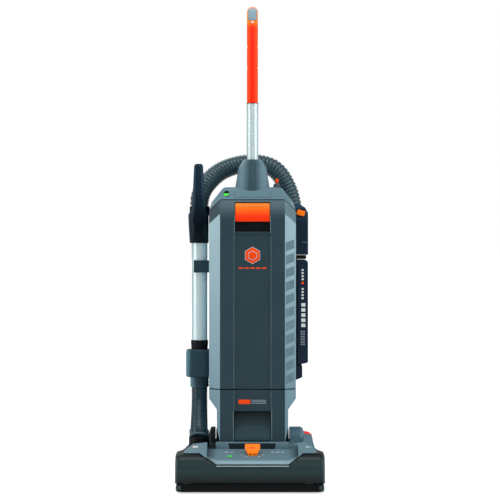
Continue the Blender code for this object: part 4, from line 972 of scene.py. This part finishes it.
def shaped_grip():
    """The stick grip: a squarish oval with a domed end, a switch pocket and notches at each side."""
    rings = []
    rows = 90
    for i in range(rows + 1):
        z = GRIP_LOW + (GRIP_HIGH - GRIP_LOW) * i / rows
        dome = max(0.0, (z - 1.1610) / (GRIP_HIGH - 1.1610))
        size = max(0.62, 1 - 0.38 * dome**2.2)
        half = 0.0136 * size
        rings.append(ellipse(0, grip_middle(z), z, half, half * 1.20, 56, 2.35))
    for size in (0.50, 0.34, 0.15):
        z = GRIP_HIGH
        rings.append(ellipse(0, grip_middle(z), z - 0.0001, 0.0136 * size, 0.0163 * size, 56, 2.2))
    piece = piece_from("grip_moulding", skinned(rings), "grip", None, ["handle_grip"], 0)
    cutter("switch_pocket", block(-0.0109, 0.0109, -0.01, 0.0430, 1.1396, 1.1704, 0.0004), piece)
    for z in (1.023, 1.075):
        for side in (-1, 1):
            drill = turned(
                (side * 0.0150, grip_middle(z), z), [(-0.03, 0.0030), (0.03, 0.0030)], 24, "Y"
            )
            cutter("notch", drill, piece)
    piece.data.shade_smooth()
    piece.data.set_sharp_from_angle(angle=math.radians(45))
    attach(piece, "upright")
    ferrule = turned((0, TUBE_Y, 0), [(0.9330, 0.0144), (0.9330, 0.0149), (0.9344, 0.0149)], 48)
    piece_from("grip_ferrule", ferrule, "black", "upright")
    # a small dome on the grip's front, its white a painted highlight
    dome = [(0.0006, 0.0030), (-0.0002, 0.0030), (-0.0009, 0.0020), (-0.0011, 0.0003)]
    lamp = turned((0, grip_middle(1.135) - 0.01625, 1.1350), dome, 28, "Y")
    piece_from("grip_highlight_dot", lamp, "print_white", "upright")


def socket_cone():
    """The cone under the handle tube, standing on the top cap."""
    keys = [
        (0.696, 0.0466, 0.0588, 0.010), (0.700, 0.0462, 0.0583, 0.010), (0.708, 0.0448, 0.0562, 0.010),
        (0.735, 0.0408, 0.0490, 0.013), (0.7755, 0.0343, 0.0364, 0.0200),
        (0.7772, 0.0337, 0.0356, 0.0201), (0.7788, 0.0322, 0.0342, 0.0203),
        (0.7935, 0.0236, 0.0242, TUBE_Y), (0.7950, 0.0222, 0.0228, TUBE_Y),
        (0.7950, 0.0160, 0.0160, TUBE_Y), (0.7910, 0.0150, 0.0150, TUBE_Y),
    ]
    rings = [ellipse(0, y, z, a, b, 72) for z, a, b, y in keys]
    piece_from("socket_shell", skinned(rings, caps=False), "socket", "upright", ["handle_socket"], 24)
    screw = screw_head(0.0, 0.0602, 0.745, 0.0034)
    piece_from("socket_screw_rear", merged(*screw), "steel", "upright")


# ---- wand ----

WAND_X, WAND_Y = -0.1296, -0.005


def wand_grip():
    """The wand handle: a cuff that widens to the rear for the hose and flows up into the grip's bar."""
    cuff_keys = [
        (0.590, 0.0222, -0.028, 0.018, -0.001), (0.5925, 0.0232, -0.030, 0.020, -0.001),
        (0.625, 0.0243, -0.031, 0.034, -0.002), (0.655, 0.0250, -0.032, 0.053, -0.003),
        (0.6600, 0.0250, -0.032, 0.055, -0.003), (0.6645, 0.0225, -0.030, 0.053, -0.003),
    ]
    rings = [
        ellipse(WAND_X + s, (y0 + y1) / 2, z, h, (y1 - y0) / 2, 56, 2.5)
        for z, h, y0, y1, s in cuff_keys
    ]
    cuff = skinned(rings)
    bar_keys = [
        (0.640, 0.0225, -0.0318, 0.012), (0.655, 0.0215, -0.0316, 0.006),
        (0.668, 0.0175, -0.031, 0.002), (0.680, 0.0155, -0.030, 0.001), (0.700, 0.0143, -0.028, 0.001),
        (0.735, 0.0131, -0.025, 0.003), (0.765, 0.0118, -0.021, 0.004), (0.777, 0.0112, -0.019, 0.004),
        (0.7815, 0.0098, -0.017, 0.003), (0.7835, 0.0078, -0.0145, 0.000),
        (0.7840, 0.0040, -0.010, -0.004),
    ]
    rings = [
        ellipse(WAND_X - 0.0022, (y0 + y1) / 2, z, h, (y1 - y0) / 2, 48, 2.7)
        for z, h, y0, y1 in bar_keys
    ]
    piece = piece_from(
        "wand_handle_shell", merged(cuff, skinned(rings)), "wand_black", "wand", ["wand_handle"], 40
    )


def cup():
    """The wand holder: a rounded cup on a ringed neck, flat against the body."""
    wall_x = -0.10545
    keys = [
        (0.239, 0.0222), (0.2400, 0.0227), (0.2445, 0.0227), (0.2462, 0.0216), (0.2480, 0.0227),
        (0.2525, 0.0227), (0.2542, 0.0216), (0.2560, 0.0227), (0.2610, 0.0227), (0.2625, 0.0235),
    ]
    body = [
        (0.2632, 0.0300), (0.2645, 0.0318), (0.2670, 0.0330), (0.3250, 0.0330), (0.3280, 0.0322),
        (0.3300, 0.0300), (0.3302, 0.0215),
    ]
    rings = [ellipse(WAND_X, WAND_Y, z, r, r, 64) for z, r in keys]
    rings += [ellipse(WAND_X, WAND_Y, z, r, r * 0.97, 64, 3.4 if r > 0.025 else 2.0) for z, r in body]
    rings = [[(min(x, wall_x), y, z) for x, y, z in ring] for ring in rings]
    piece_from("cup_shell", skinned(rings), "cup", "upright", ["wand_cup"], 40)


# ---- upright ----

STRIP_Y = -0.0934  # the face of the strip down the middle of the front
DOOR_SEAM_Z = 0.238


def strip_edge_highlights():
    """Painted highlights: fine light lines down both sides of the front strip, on the bag door and on the
    motor housing.
    """
    spans = {
        "door": ("bag_door", "door", 0.2415, 0.6080),
        "motor": ("lower_housing", "upright", 0.1885, 0.2345),
    }
    width, steps = 0.0008, 12
    for tag, (node, body, low, high) in spans.items():
        tree = surface_of(node)
        heights = [low + (high - low) * k / steps for k in range(steps + 1)]
        parts = []
        for x in (-0.0448, 0.0440):
            for z0, z1 in zip(heights, heights[1:]):
                parts.append(laid(tree, patch(x, x + width, z0, z1), lift=0.0003))
        piece_from(f"strip_edge_highlights_{tag}", merged(*parts), "edge_highlight", body)
    # painted highlights also down the sides of the motor pocket and of the latch pocket
    sides = {"pocket_edge_highlights": ("upright", 0.0458, 0.0009, 0.1135, 0.1868)}
    sides["latch_edges"] = ("door", 0.0434, 0.0007, 0.6120, 0.6560)
    for name, (body, out, half, low, high) in sides.items():
        bars = [block(x - half, x + half, -0.0953, -0.0940, low, high, 0.0003) for x in (-out, out)]
        piece_from(name, merged(*bars), "edge_highlight", body)


def pockets():
    """A dark liner of painted shade in the finger pocket under the latch, and the bulge low in the motor
    housing's pocket, with painted shade towards its top.
    """
    # painted shade: a near-black sheet at the back of the finger pocket
    liner = block(-0.0419, 0.0419, -0.0868, -0.0856, 0.6175, 0.6560)
    piece_from("finger_pocket_shade", liner, "pit", "door")
    low, high, half, deep, rise = 0.1138, 0.1850, 0.0446, 0.0078, 0.0052
    rows, columns = 22, 32
    grid = []
    for i in range(rows + 1):
        z = low + (high - low) * i / rows
        line = []
        for k in range(columns + 1):
            x = half * (2 * k / columns - 1)
            crest = 0.1515 - 6.5 * x * x
            bulge = 0.0 if z > crest else rise * (1 - ((z - low) / (crest - low)) ** 2) ** 0.5
            line.append((x, -0.0950 + deep - bulge, z))
        grid.append(line)
    piece = piece_from("pocket_bulge", sheet(grid), "pocket", "upright", (), 0)
    thicken(piece, 0.0006, 1)


def marks():
    """Plain marks where a maker's would be: nested hexagons, a few bars, and a striped plate."""
    door, housing = surface_of("bag_door"), surface_of("lower_housing")
    cover = surface_of("filter_cover")
    hexagons = (
        ("emblem_rim", 0.0212, 0.0006, "trim_bright"), ("emblem_plate", 0.0196, 0.0010, "orange_plain"),
        ("emblem_ring", 0.0122, 0.0013, "trim_bright"), ("emblem_core", 0.0104, 0.0016, "orange_plain"),
    )
    for name, radius, rise, slot in hexagons:
        plate = prism(hexagon(0, 0.5600, radius), STRIP_Y - rise, STRIP_Y + 0.0004, 0.0002)
        piece_from(name, plate, slot, "door")
    dashes = [
        laid(door, outline_round(-0.0280 + 0.0140 * k, 0.5295, 0.0054, 0.0016, 0.0008))
        for k in range(5)
    ]
    piece_from("emblem_dashes", merged(*dashes), "orange_plain", "door")
    plate = laid(housing, outline_round(-0.0195, 0.2085, 0.0140, 0.0052, 0.0010))
    piece_from("plate_orange", plate, "orange_plain", "upright")
    lines = [
        laid(housing, outline_round(0.0150, z, 0.0180, 0.0009, 0.0006))
        for z in (0.2048, 0.2085, 0.2122)
    ]
    piece_from("plate_pinstripes", merged(*lines), "print_grey", "upright")
    bars = []
    low, pitch, tall, slant = 0.2500, 0.0320, 0.0210, 0.0075
    inner, outer = 0.0800, 0.1010
    for k in range(11):
        z = low + pitch * k
        rise = z + slant
        bars.append(laid(door, [(inner, z), (outer, rise), (outer, rise + tall), (inner, z + tall)]))
    piece_from("chamfer_bars", merged(*bars), "print_dark", "door")
    filter_marks = {"white": [(5, 0.1235, 0.3900, 0.0125, 0.0050, 0.0042, 0.0008)], "grey": []}
    filter_marks["white"] += [(4, 0.1218, z, 0.0075, 0.0028, 0.0022, 0.0006) for z in (0.4560, 0.5020)]
    filter_marks["grey"] += [(6, x, 0.3440, 0.0062, 0.0022, 0.0019, 0.0006) for x in (0.1250, 0.1195)]
    for tone, rows in filter_marks.items():
        ticks = []
        for count, x, z, step, half_x, half_z, corner in rows:
            spots = [outline_round(x, z + step * k, half_x, half_z, corner) for k in range(count)]
            ticks += [laid(cover, spot) for spot in spots]
        piece_from(f"cover_marks_{tone}", merged(*ticks), f"print_{tone}", "filter_door")
    piece_from(
        "cover_mark_orange", laid(cover, hexagon(0.1218, 0.4930, 0.0036)), "orange_plain", "filter_door"
    )


def connector_details():
    """The seam of the duct on the right side with a painted highlight along it, and its slanting release
    button.
    """
    seam = [
        block(0.1056, 0.1353, -0.0453, -0.0440, 0.5905, 0.5912),
        block(0.1345, 0.1353, -0.0453, 0.0553, 0.5905, 0.5912),
    ]
    piece_from("connector_seam", merged(*seam), "pit", "upright")
    # painted highlight: a light line along the seam's edge
    light = block(0.1205, 0.1353, -0.0454, -0.0440, 0.5913, 0.5923)
    piece_from("connector_seam_highlight", light, "edge_highlight", "upright")
    slant = Matrix.Translation((0.1174, 0, 0.6633)) @ Matrix.Rotation(math.radians(13), 4, "Y")
    button = moved(
        prism(outline_round(0.0, 0.0, 0.0097, 0.0066, 0.0022), -0.0477, -0.0390, 0.0009), slant
    )
    piece = piece_from("button_cap", button, "amber", "release_button", ["hose_button"])
    bezel = prism(outline_round(0.0, 0.0, 0.0106, 0.0075, 0.0028), -0.0453, -0.0345)
    piece_from("button_well", moved(bezel, slant), "navy", "upright")


def cap_details():
    """The window of the bag indicator, with painted shade above its lens, and the fine lines of the cap's
    middle panel.
    """
    x, y, z = -0.0634, -0.0585, 0.7100
    turn = Vector((-0.35, -0.75, 0.56)).normalized().to_track_quat("Z", "Y").to_matrix().to_4x4()
    place = Matrix.Translation((x, y, z)) @ turn
    frame = turned(
        (0, 0, 0),
        [(-0.004, 0.0093), (0.0006, 0.0093), (0.0012, 0.0087), (0.0009, 0.0078), (-0.004, 0.0074)],
        48,
    )
    piece_from("indicator_frame", moved(frame, place), "cap", "upright")
    # painted shade: a near-black cup stands in for the shade inside the window's recess above the lens
    well = turned((0, 0, 0), [(-0.004, 0.0077), (-0.0007, 0.0077), (-0.0010, 0.0002)], 48)
    piece_from("indicator_well_shade", moved(well, place), "pit", "upright")
    half = [
        (0.0068 * math.cos(math.radians(a)), 0.0068 * math.sin(math.radians(a)) - 0.0003)
        for a in range(180, 361, 12)
    ]
    lens_body = slab([(a, b, 0.0002) for a, b in half], (0, 0, -0.003))
    piece = piece_from("indicator_lens", moved(lens_body, place), "green", "upright", ["bag_indicator"])
    cap = surface_of("top_cap")
    lines = []
    for x in (-0.0432, 0.0440):
        steps = [0.6965 + (0.7150 - 0.6965) * k / 6 for k in range(7)]
        for low, high in zip(steps, steps[1:]):
            lines.append(laid(cap, patch(x, x + 0.0009, low, high), lift=0.00012))
    piece_from("cap_panel_lines", merged(*lines), "seam", "upright")
    door_top, arch = 0.6962, 0.0048
    crown = [
        (0.0436, 0.0), (0.0425, 0.0025), (0.0300, 0.0040), (0.0, arch), (-0.0300, 0.0040),
        (-0.0425, 0.0025), (-0.0436, 0.0),
    ]
    path = []
    for (x0, z0), (x1, z1) in zip(crown, crown[1:]):
        path += [(x0 + (x1 - x0) * k / 4, door_top + z0 + (z1 - z0) * k / 4) for k in range(4)]
    arcs = []
    for (x0, z0), (x1, z1) in zip(path, path[1:]):
        corners = [(x0, z0 - 0.0005), (x1, z1 - 0.0005), (x1, z1 + 0.0006), (x0, z0 + 0.0006)]
        arcs.append(laid(cap, corners, lift=0.00016))
    piece_from("cap_arch_line", merged(*arcs), "seam", "upright")


def seams():
    """A soft filler just under the seam between the door and the motor housing."""
    plan = [(-0.1025, -0.0645), (-0.0765, -0.0918), (0.0765, -0.0918), (0.1025, -0.0645)]
    inner = [(x * 0.97, y + 0.004) for x, y in reversed(plan)]
    ring = plan + inner
    low, high = DOOR_SEAM_Z - 0.0012, DOOR_SEAM_Z - 0.0004
    filler = skinned([[(x, y, low) for x, y in ring], [(x, y, high) for x, y in ring]])
    piece_from("seam_filler_low", filler, "seam", "upright")


def back_details():
    """Screws, a louvred exhaust grille, a strain relief and a plain label plate on the rear."""
    rear = 0.0750
    screws = []
    for x, z in (
        (-0.090, 0.640), (0.070, 0.640), (-0.090, 0.262), (0.090, 0.262), (-0.068, 0.215),
        (0.068, 0.215),
    ):
        screws += screw_head(x, rear, z)
    piece_from("rear_screws", merged(*screws), "steel", "upright")
    slats = []
    for k in range(8):
        z = 0.1450 + 0.0075 * k
        slat = block(-0.052, 0.052, -0.0011, 0.0014, -0.0014, 0.0014, 0.0005)
        slats.append(
            moved(slat, Matrix.Translation((0, rear, z)) @ Matrix.Rotation(math.radians(28), 4, "X"))
        )
    piece_from("exhaust_louvres", merged(*slats), "dark_slate", "upright")
    recess = block(-0.056, 0.056, rear - 0.0006, rear + 0.0003, 0.140, 0.2020, 0.0002)
    piece_from("exhaust_panel", recess, "pit", "upright")
    plate = prism(outline_round(0.0, 0.640, 0.0420, 0.0210, 0.004), rear - 0.0004, rear + 0.0005)
    piece_from("label_plate", plate, "satin", "upright")
    ends = ((0.650, 0.030), (0.643, 0.018), (0.636, 0.026), (0.629, 0.006))
    rules = [block(-0.034, x, rear + 0.0003, rear + 0.0007, z, z + 0.0016) for z, x in ends]
    piece_from("label_rules", merged(*rules), "print_grey", "upright")
    grooves = [(0.0, 0.0062), (0.002, 0.0066)]
    for k in range(5):
        grooves += [
            (0.0040 + 0.0036 * k, 0.0062 - 0.0005 * k), (0.0056 + 0.0036 * k, 0.0050 - 0.0005 * k)
        ]
    relief = turned((-0.062, 0.0, 0.0), [(rear + z, r) for z, r in grooves], 32, "Y")
    piece_from("strain_relief", moved(relief, Matrix.Translation((0, 0, 0.222))), "black", "upright")


# ---- head ----


HEAD_LEFT, HEAD_RIGHT = -0.1825, 0.1705
HOOD_REAR, HOOD_LOW, HOOD_TOP = -0.1048, 0.0242, 0.0930
HOOD_CORNER = 0.0115  # how far in from each end the hood starts to round off


def hood_profile():
    """The side view of the hood, as (y, z) from its foot at the front over its brow to the rear."""
    low = HOOD_LOW
    face = [(-0.1880, low), (-0.1900, low + 0.003), (-0.1903, 0.040), (-0.1898, 0.054)]
    for i in range(1, 13):
        turn = math.radians(90 * i / 12)
        face.append((-0.1898 + 0.0300 * (1 - math.cos(turn)), 0.054 + 0.0388 * math.sin(turn)))
    return face + [(-0.1400, HOOD_TOP), (HOOD_REAR, HOOD_TOP)]


def hood_edge(x):
    """The height the hood is cut off at, to nest under the light cover."""
    inner, outer, low = 0.085, 0.1255 if x < 0 else 0.119, 0.0662
    return low + (HOOD_TOP - low) * min(1.0, max(0.0, (abs(x) - inner) / (outer - inner)))


def hood_row(x, face):
    """The profile at one place across the hood: cut off at its edge, and drawn in near the ends."""
    inset = min(x - HEAD_LEFT, HEAD_RIGHT - x, HOOD_CORNER)
    pull = 0.0085 * (1 - math.sqrt(max(0.0, 1 - (1 - inset / HOOD_CORNER) ** 2)))
    top = hood_edge(x)
    row = []
    for (y, z), (before_y, before_z) in zip(face, face[:1] + face[:-1]):
        if z > top >= before_z:
            end_y = before_y + (y - before_y) * (top - before_z) / (z - before_z)
        if z > top:
            y, z = end_y, top
        full = min(1.0, (z - HOOD_LOW) / 0.004)
        drop = 0.75 * pull * max(0.0, z - 0.040) / 0.053
        row.append((x, min(HOOD_REAR, y + pull * (0.5 + 0.5 * full)), z - drop))
    return row


def shaped_hood():
    """The visor over the brush: one curved section swept across, with rounded ends and a stepped top."""
    ends = [0.0, 0.0006, 0.0015, 0.003, 0.005, 0.008, HOOD_CORNER]
    xs = [HEAD_LEFT + s for s in ends] + [
        -0.150, -0.1255, -0.1155, -0.105, -0.095, -0.085, -0.045, 0.0, 0.045
    ]
    xs += [0.085, 0.0935, 0.102, 0.1105, 0.119, 0.140] + [HEAD_RIGHT - s for s in reversed(ends)]
    face = hood_profile()
    rows = [hood_row(x, face) for x in xs]
    bm = sheet(rows)
    for row in (rows[0], rows[-1]):
        bm.faces.new([bm.verts.new(p) for p in row] + [bm.verts.new((row[0][0], HOOD_REAR, HOOD_LOW))])
    bmesh.ops.remove_doubles(bm, verts=bm.verts, dist=0.00001)
    bmesh.ops.dissolve_degenerate(bm, edges=bm.edges, dist=0.00002)
    piece = piece_from("hood_shell", bm, "hood", "head", ["brush_hood"], 48)
    thicken(piece, 0.0026, -1)


def oblong(x0, x1, y0, y1, z):
    return [(x0, y0, z), (x1, y0, z), (x1, y1, z), (x0, y1, z)]


def tray_details():
    """The tray of the cover: a rear wall with a dark panel of painted shade, scale marks, stripes and a
    light strip along the lip.
    """
    lip = block(-0.0850, 0.0850, -0.1909, -0.1880, 0.0640, 0.0662, 0.0006)
    piece_from("lip_trim", lip, "trim_bright", "head")
    wall = prism(patch(-0.088, 0.088, 0.0955, 0.1138), -0.1062, -0.1036, 0.0008)
    piece_from("tray_wall", wall, "cover", "head")
    outline = [(-0.0545, 0.0950), (0.0530, 0.0950), (0.0565, 0.1102), (-0.0585, 0.1102)]
    # painted shade: a dark panel stands in for the shade on the tray's rear wall
    piece_from("tray_panel", prism(outline, -0.1066, -0.1050, 0.0003), "dark_slate", "head")
    spots = []
    for degrees in (200, 235, 305, 340):
        turn = math.radians(degrees)
        spots.append((0.0265 * math.cos(turn), -0.138 + 0.0265 * math.sin(turn), 0.0022, 0.0012))
    spots += [(x, -0.128, 0.0040, 0.0015) for x in (-0.062, -0.050, 0.048, 0.060, 0.072)]
    cover = surface_of("head_cover")
    down = (0, 0.30, -0.95)
    ticks = [laid(cover, oblong(x - a, x + a, y - b, y + b, 0.09), down) for x, y, a, b in spots]
    piece_from("tray_marks", merged(*ticks), "print_white", "head")
    stripes = {
        "orange": ("orange_plain", -0.1530, -0.1430), "white": ("print_white", -0.1420, -0.1300),
        "blue": ("trim_bright", 0.1270, 0.1400), "dark": ("print_dark", 0.1410, 0.1470),
    }
    for tone, (slot, x0, x1) in stripes.items():
        stripe = laid(cover, oblong(x0, x1, -0.138, -0.130, 0.12), (0, 0.15, -1))
        piece_from(f"wing_stripe_{tone}", stripe, slot, "head")


def dial_marks():
    """A red arrow and a red pointer on the dial's face, and two dark spots of painted shade under it."""
    dial = surface_of("height_knob")
    arrow = [(-0.0080, 0.1045), (0.0080, 0.1045), (0.0050, 0.1022), (-0.0050, 0.1022)]
    piece_from("dial_arrow", laid(dial, arrow), "red", "dial")
    pointer = [(-0.0074, 0.0920), (0.0074, 0.0920), (0.0070, 0.0900), (-0.0070, 0.0900)]
    piece_from("dial_pointer", laid(dial, pointer), "red", "dial")
    # painted shade: dark spots stand in for the shade under the dial
    feet = [laid(dial, outline_round(x, 0.0884, 0.0028, 0.0009, 0.0005)) for x in (-0.0052, 0.0052)]
    piece_from("dial_shade_spots", merged(*feet), "pit", "dial")


def pivot_gap_shades():
    """Dark discs of painted shade in the gaps between the upright and its two bearings."""
    for name, sign in (("left", -1), ("right", 1)):
        profile = [(0.0770, 0.0320), (0.0880, 0.0320), (0.0885, 0.0310), (0.0885, 0.0070)]
        disc = turned((0, 0, PIVOT.z), [(sign * x, radius) for x, radius in profile], 48, "X")
        piece_from(f"pivot_gap_shade_{name}", disc, "pit", "upright")


def guard_corners():
    """Grey end pieces let into the bumper at both front corners."""
    for side, x0, x1 in (("left", -0.1806, -0.1685), ("right", 0.1565, 0.1686)):
        end = block(x0, x1, -0.1878, -0.1700, 0.0085, 0.0190, 0.0015)
        piece_from(f"guard_end_{side}", end, "guard_end", "head")


def tuft():
    """One tuft that stands up from the brush's axis, spreading a little towards its tips."""
    rings = []
    for out, thick, fray in ((0.0195, 0.0016, 0.0), (0.0260, 0.0022, 0.0), (0.0322, 0.0030, 0.0006)):
        ring = []
        for k in range(7):
            turn = 2 * math.pi * k / 7
            tip = random.uniform(-fray, 0.0) if fray else 0.0
            ring.append((thick * math.cos(turn), thick * math.sin(turn), out + tip))
        rings.append(ring)
    return skinned(rings)


def bristles():
    """The brush roll: a core with two spirals of bristle tufts."""
    random.seed(3)
    y, z, left, right, core = -0.140, 0.038, -0.150, 0.125, 0.0205
    profile = [
        (left, 0.008), (left, core - 0.002), (left + 0.002, core), (right - 0.002, core),
        (right, core - 0.002), (right, 0.008),
    ]
    piece = piece_from(
        "roll_core", turned((0, y, z), profile, 48, "X"), "black", "brush", ["brush_roll"]
    )
    tufts = []
    last = 43
    for row in range(2):
        for k in range(last + 1):
            along = left + 0.006 + (right - left - 0.012) * k / last
            angle = 2 * math.pi * (k / last + row / 2) + random.uniform(-0.03, 0.03)
            place = Matrix.Translation((along, y, z)) @ Matrix.Rotation(angle, 4, "X")
            tufts.append(moved(tuft(), place))
    piece_from("bristle_tufts", merged(*tufts), "bristle", "brush", (), 60)


def wheel_details():
    """Hub caps, each with five spokes, on the two rear wheels."""
    for side, body, x, sign in (("left", "wheel_left", -0.151, -1), ("right", "wheel_right", 0.147, 1)):
        rim = [
            (0.0, 0.0270), (0.0010, 0.0270), (0.0016, 0.0255), (0.0006, 0.0235), (0.0006, 0.0110),
            (0.0024, 0.0095), (0.0024, 0.0002),
        ]
        cap = turned((x, 0.066, 0.038), [(sign * a, r) for a, r in rim], 48, "X")
        spokes = []
        for k in range(5):
            spoke = block(-0.0004, 0.0014, -0.0013, 0.0013, 0.0095, 0.0245, 0.0004)
            turn = Matrix.Rotation(2 * math.pi * k / 5, 4, "X")
            spokes.append(moved(spoke, Matrix.Translation((x + sign * 0.0004, 0.066, 0.038)) @ turn))
        piece_from(f"hub_cap_{side}", merged(cap, *spokes), "hub", body)


# ---- the filter bag ----


BAG_LOW, BAG_HIGH = 0.266, 0.662
COLLAR_Z = 0.614


def bag_rings():
    """The empty bag: a soft box with corners at the front, drawn in a little at its gussets."""
    plan = [
        (0.0, -0.080), (0.030, -0.080), (0.053, -0.080), (0.084, -0.052), (0.084, -0.024),
        (0.0815, 0.004), (0.084, 0.032), (0.084, 0.058), (0.050, 0.058), (0.0, 0.058),
    ]
    half = smooth_path([(x, y, 0) for x, y in plan], 0.0075)
    outline = [(p.x, p.y) for p in half] + [(-p.x, p.y) for p in reversed(half[1:-1])]
    rings = []
    rows = 54
    for i in range(rows + 1):
        z = BAG_LOW + (BAG_HIGH - BAG_LOW) * i / rows
        close = min(1.0, min(z - BAG_LOW, BAG_HIGH - z) / 0.012)
        size = 0.93 + 0.07 * math.sqrt(close)
        rings.append([(x * size, y * size, z) for x, y in outline])
    return rings


def filter_bag():
    """The bag, blown up in its compartment by a short cloth simulation."""
    rings = bag_rings()
    middle = -0.011

    def shrunk(ring, size):
        return [(x * size, middle + (y - middle) * size, z) for x, y, z in ring]

    bottom = [shrunk(rings[0], size) for size in (0.25, 0.5, 0.75)]
    rings = bottom + rings + [shrunk(rings[-1], size) for size in (0.75, 0.5, 0.25)]
    bm = skinned(rings)
    bmesh.ops.triangulate(bm, faces=[f for f in bm.faces if len(f.verts) > 4])
    piece = piece_from("bag_cloth", bm, "bag", None, ["filter_bag"], 0)
    blow_up(piece)
    for vertex in piece.data.vertices:
        vertex.co = kept_in(vertex.co - ORIGIN) + ORIGIN
    piece.data.shade_smooth()
    smooth = piece.modifiers.new("fine", "SUBSURF")
    smooth.levels = 1
    smooth.render_levels = 1
    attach(piece, "upright")


def kept_in(place):
    """A point of the bag, moved back inside the walls of its compartment where it is past them."""
    wall, front, near_front = 0.0985, -0.0885, -0.0765
    past_collar = 0.0110 * math.exp(-(((place.z - COLLAR_Z) / 0.05) ** 2))
    place.x = max(-wall, min(wall - past_collar, place.x))
    reach = max(0.0, abs(place.x) - 0.0600)
    place.y = max(front + 1.05 * reach, min(0.0690, place.y))
    place.z = max(0.2555, min(0.6640, place.z))
    if abs(place.x) < 0.062 and place.z > 0.592:
        place.y = max(near_front, place.y)
    if place.z < 0.295:
        place.y = max(near_front + 0.6 * max(0.0, 0.275 - place.z), place.y)
    return place


def blow_up(piece):
    """Fills the bag with air, held where its collar is."""
    pinned = piece.vertex_groups.new(name="collar")
    for vertex in piece.data.vertices:
        place = vertex.co - ORIGIN
        if place.x > 0.07 and abs(place.z - COLLAR_Z) < 0.045:
            pinned.add([vertex.index], 1.0, "REPLACE")
    cloth = piece.modifiers.new("cloth", "CLOTH")
    paper = {
        "quality": 6, "mass": 0.12, "tension_stiffness": 18, "compression_stiffness": 18,
        "bending_stiffness": 0.35, "vertex_group_mass": "collar", "use_pressure": True,
        "uniform_pressure_force": 3.2, "shrink_min": -0.035,
    }
    for key, value in paper.items():
        setattr(cloth.settings, key, value)
    cloth.settings.effector_weights.gravity = 0.25
    frames = 26
    cloth.point_cache.frame_start = 1
    cloth.point_cache.frame_end = frames
    for frame_number in range(1, frames + 1):
        bpy.context.scene.frame_set(frame_number)
    graph = bpy.context.evaluated_depsgraph_get()
    blown = bpy.data.meshes.new_from_object(piece.evaluated_get(graph))
    piece.modifiers.clear()
    piece.data = blown
    bpy.context.scene.frame_set(1)


# ---- the studio ----


def backdrop():
    """A wide pale floor. It glows to the eye only, and more with distance, so that it fades out."""
    bm = bmesh.new()
    bmesh.ops.create_grid(bm, x_segments=1, y_segments=1, size=FLOOR_REACH)
    mesh = bpy.data.meshes.new("floor")
    bm.to_mesh(mesh)
    bm.free()
    sheet = bpy.data.objects.new("floor", mesh)
    bpy.context.scene.collection.objects.link(sheet)
    surface = Surface("floor_paper")
    tone = surface.remap(surface.noise(3.0), 0.0, 1.0)
    surface.wire(
        surface.mix(tone, (0.86, 0.86, 0.86), (0.90, 0.90, 0.90)), surface.shader.inputs["Base Color"]
    )
    surface.set("Roughness", 0.9)
    surface.set("Emission Color", (1.0, 1.0, 1.0, 1.0))
    squares = [surface.math("MULTIPLY", surface.axis(name), surface.axis(name)) for name in ("X", "Y")]
    away = surface.math("SQRT", surface.math("ADD", *squares))
    glow = surface.remap(away, FLOOR_GLOW_NEAR, FLOOR_GLOW_FAR, 1.5, 8.0)
    seen = surface.add("ShaderNodeLightPath").outputs["Is Camera Ray"]
    surface.wire(surface.math("MULTIPLY", seen, glow), surface.shader.inputs["Emission Strength"])
    mesh.materials.append(surface.material)


FLOOR_REACH = 120.0
FLOOR_GLOW_NEAR, FLOOR_GLOW_FAR = 0.58, 1.0
WORLD_LIGHT = 0.27
LIGHTS = [
    ("left_box", (-2.6, -0.9, 1.3), (1.0, 2.6), 26.0),
    ("right_box", (2.6, -0.9, 1.3), (1.0, 2.6), 30.0),
    ("top_box", (0.0, -1.0, 3.0), (2.4, 1.4), 34.0),
    ("front_box", (0.9, -4.2, 2.4), (1.6, 1.2), 8.0),
    ("back_box", (-1.2, 2.0, 2.6), (2.0, 1.4), 16.0),
]


def lamps():
    """Two tall soft boxes at the sides, one overhead, and weak ones in front and behind."""
    world = bpy.data.worlds.new("studio")
    world.use_nodes = True
    sky = world.node_tree.nodes["Background"].inputs
    sky["Color"].default_value = (1.0, 1.0, 1.0, 1.0)
    seen = world.node_tree.nodes.new("ShaderNodeLightPath")
    strength = world.node_tree.nodes.new("ShaderNodeMapRange")
    strength.inputs["To Min"].default_value = WORLD_LIGHT
    world.node_tree.links.new(seen.outputs["Is Camera Ray"], strength.inputs["Value"])
    world.node_tree.links.new(strength.outputs["Result"], sky["Strength"])
    bpy.context.scene.world = world
    for name, place, size, power in LIGHTS:
        lamp = bpy.data.lights.new(name, "AREA")
        lamp.shape = "RECTANGLE"
        lamp.size, lamp.size_y = size
        lamp.energy = power
        box = bpy.data.objects.new(name, lamp)
        bpy.context.scene.collection.objects.link(box)
        box.location = place
        box.rotation_euler = (Vector((0, 0, 0.55)) - Vector(place)).to_track_quat("-Z", "Y").to_euler()


CAMERA_DISTANCE, CAMERA_HEIGHT, FIELD = 4.400, 0.573, 1.200


def aim_camera():
    """A level camera straight in front, with a long lens."""
    camera = bpy.data.cameras.new("camera")
    camera.sensor_width = 36.0
    camera.lens = camera.sensor_width * CAMERA_DISTANCE / FIELD
    eye = bpy.data.objects.new("camera", camera)
    bpy.context.scene.collection.objects.link(eye)
    front = ORIGIN.y - 0.095
    eye.location = (0.0, front - CAMERA_DISTANCE, CAMERA_HEIGHT)
    eye.rotation_euler = (math.radians(90), 0, 0)
    bpy.context.scene.camera = eye
    bpy.context.scene.view_settings.view_transform = "Standard"


def main():
    dress_cad()
    long_hose()
    short_hose()
    wound_cord()
    shaped_grip()
    socket_cone()
    wand_grip()
    cup()
    strip_edge_highlights()
    pockets()
    marks()
    connector_details()
    cap_details()
    seams()
    back_details()
    shaped_hood()
    tray_details()
    dial_marks()
    guard_corners()
    pivot_gap_shades()
    bristles()
    wheel_details()
    filter_bag()
    backdrop()
    lamps()
    aim_camera()


main()
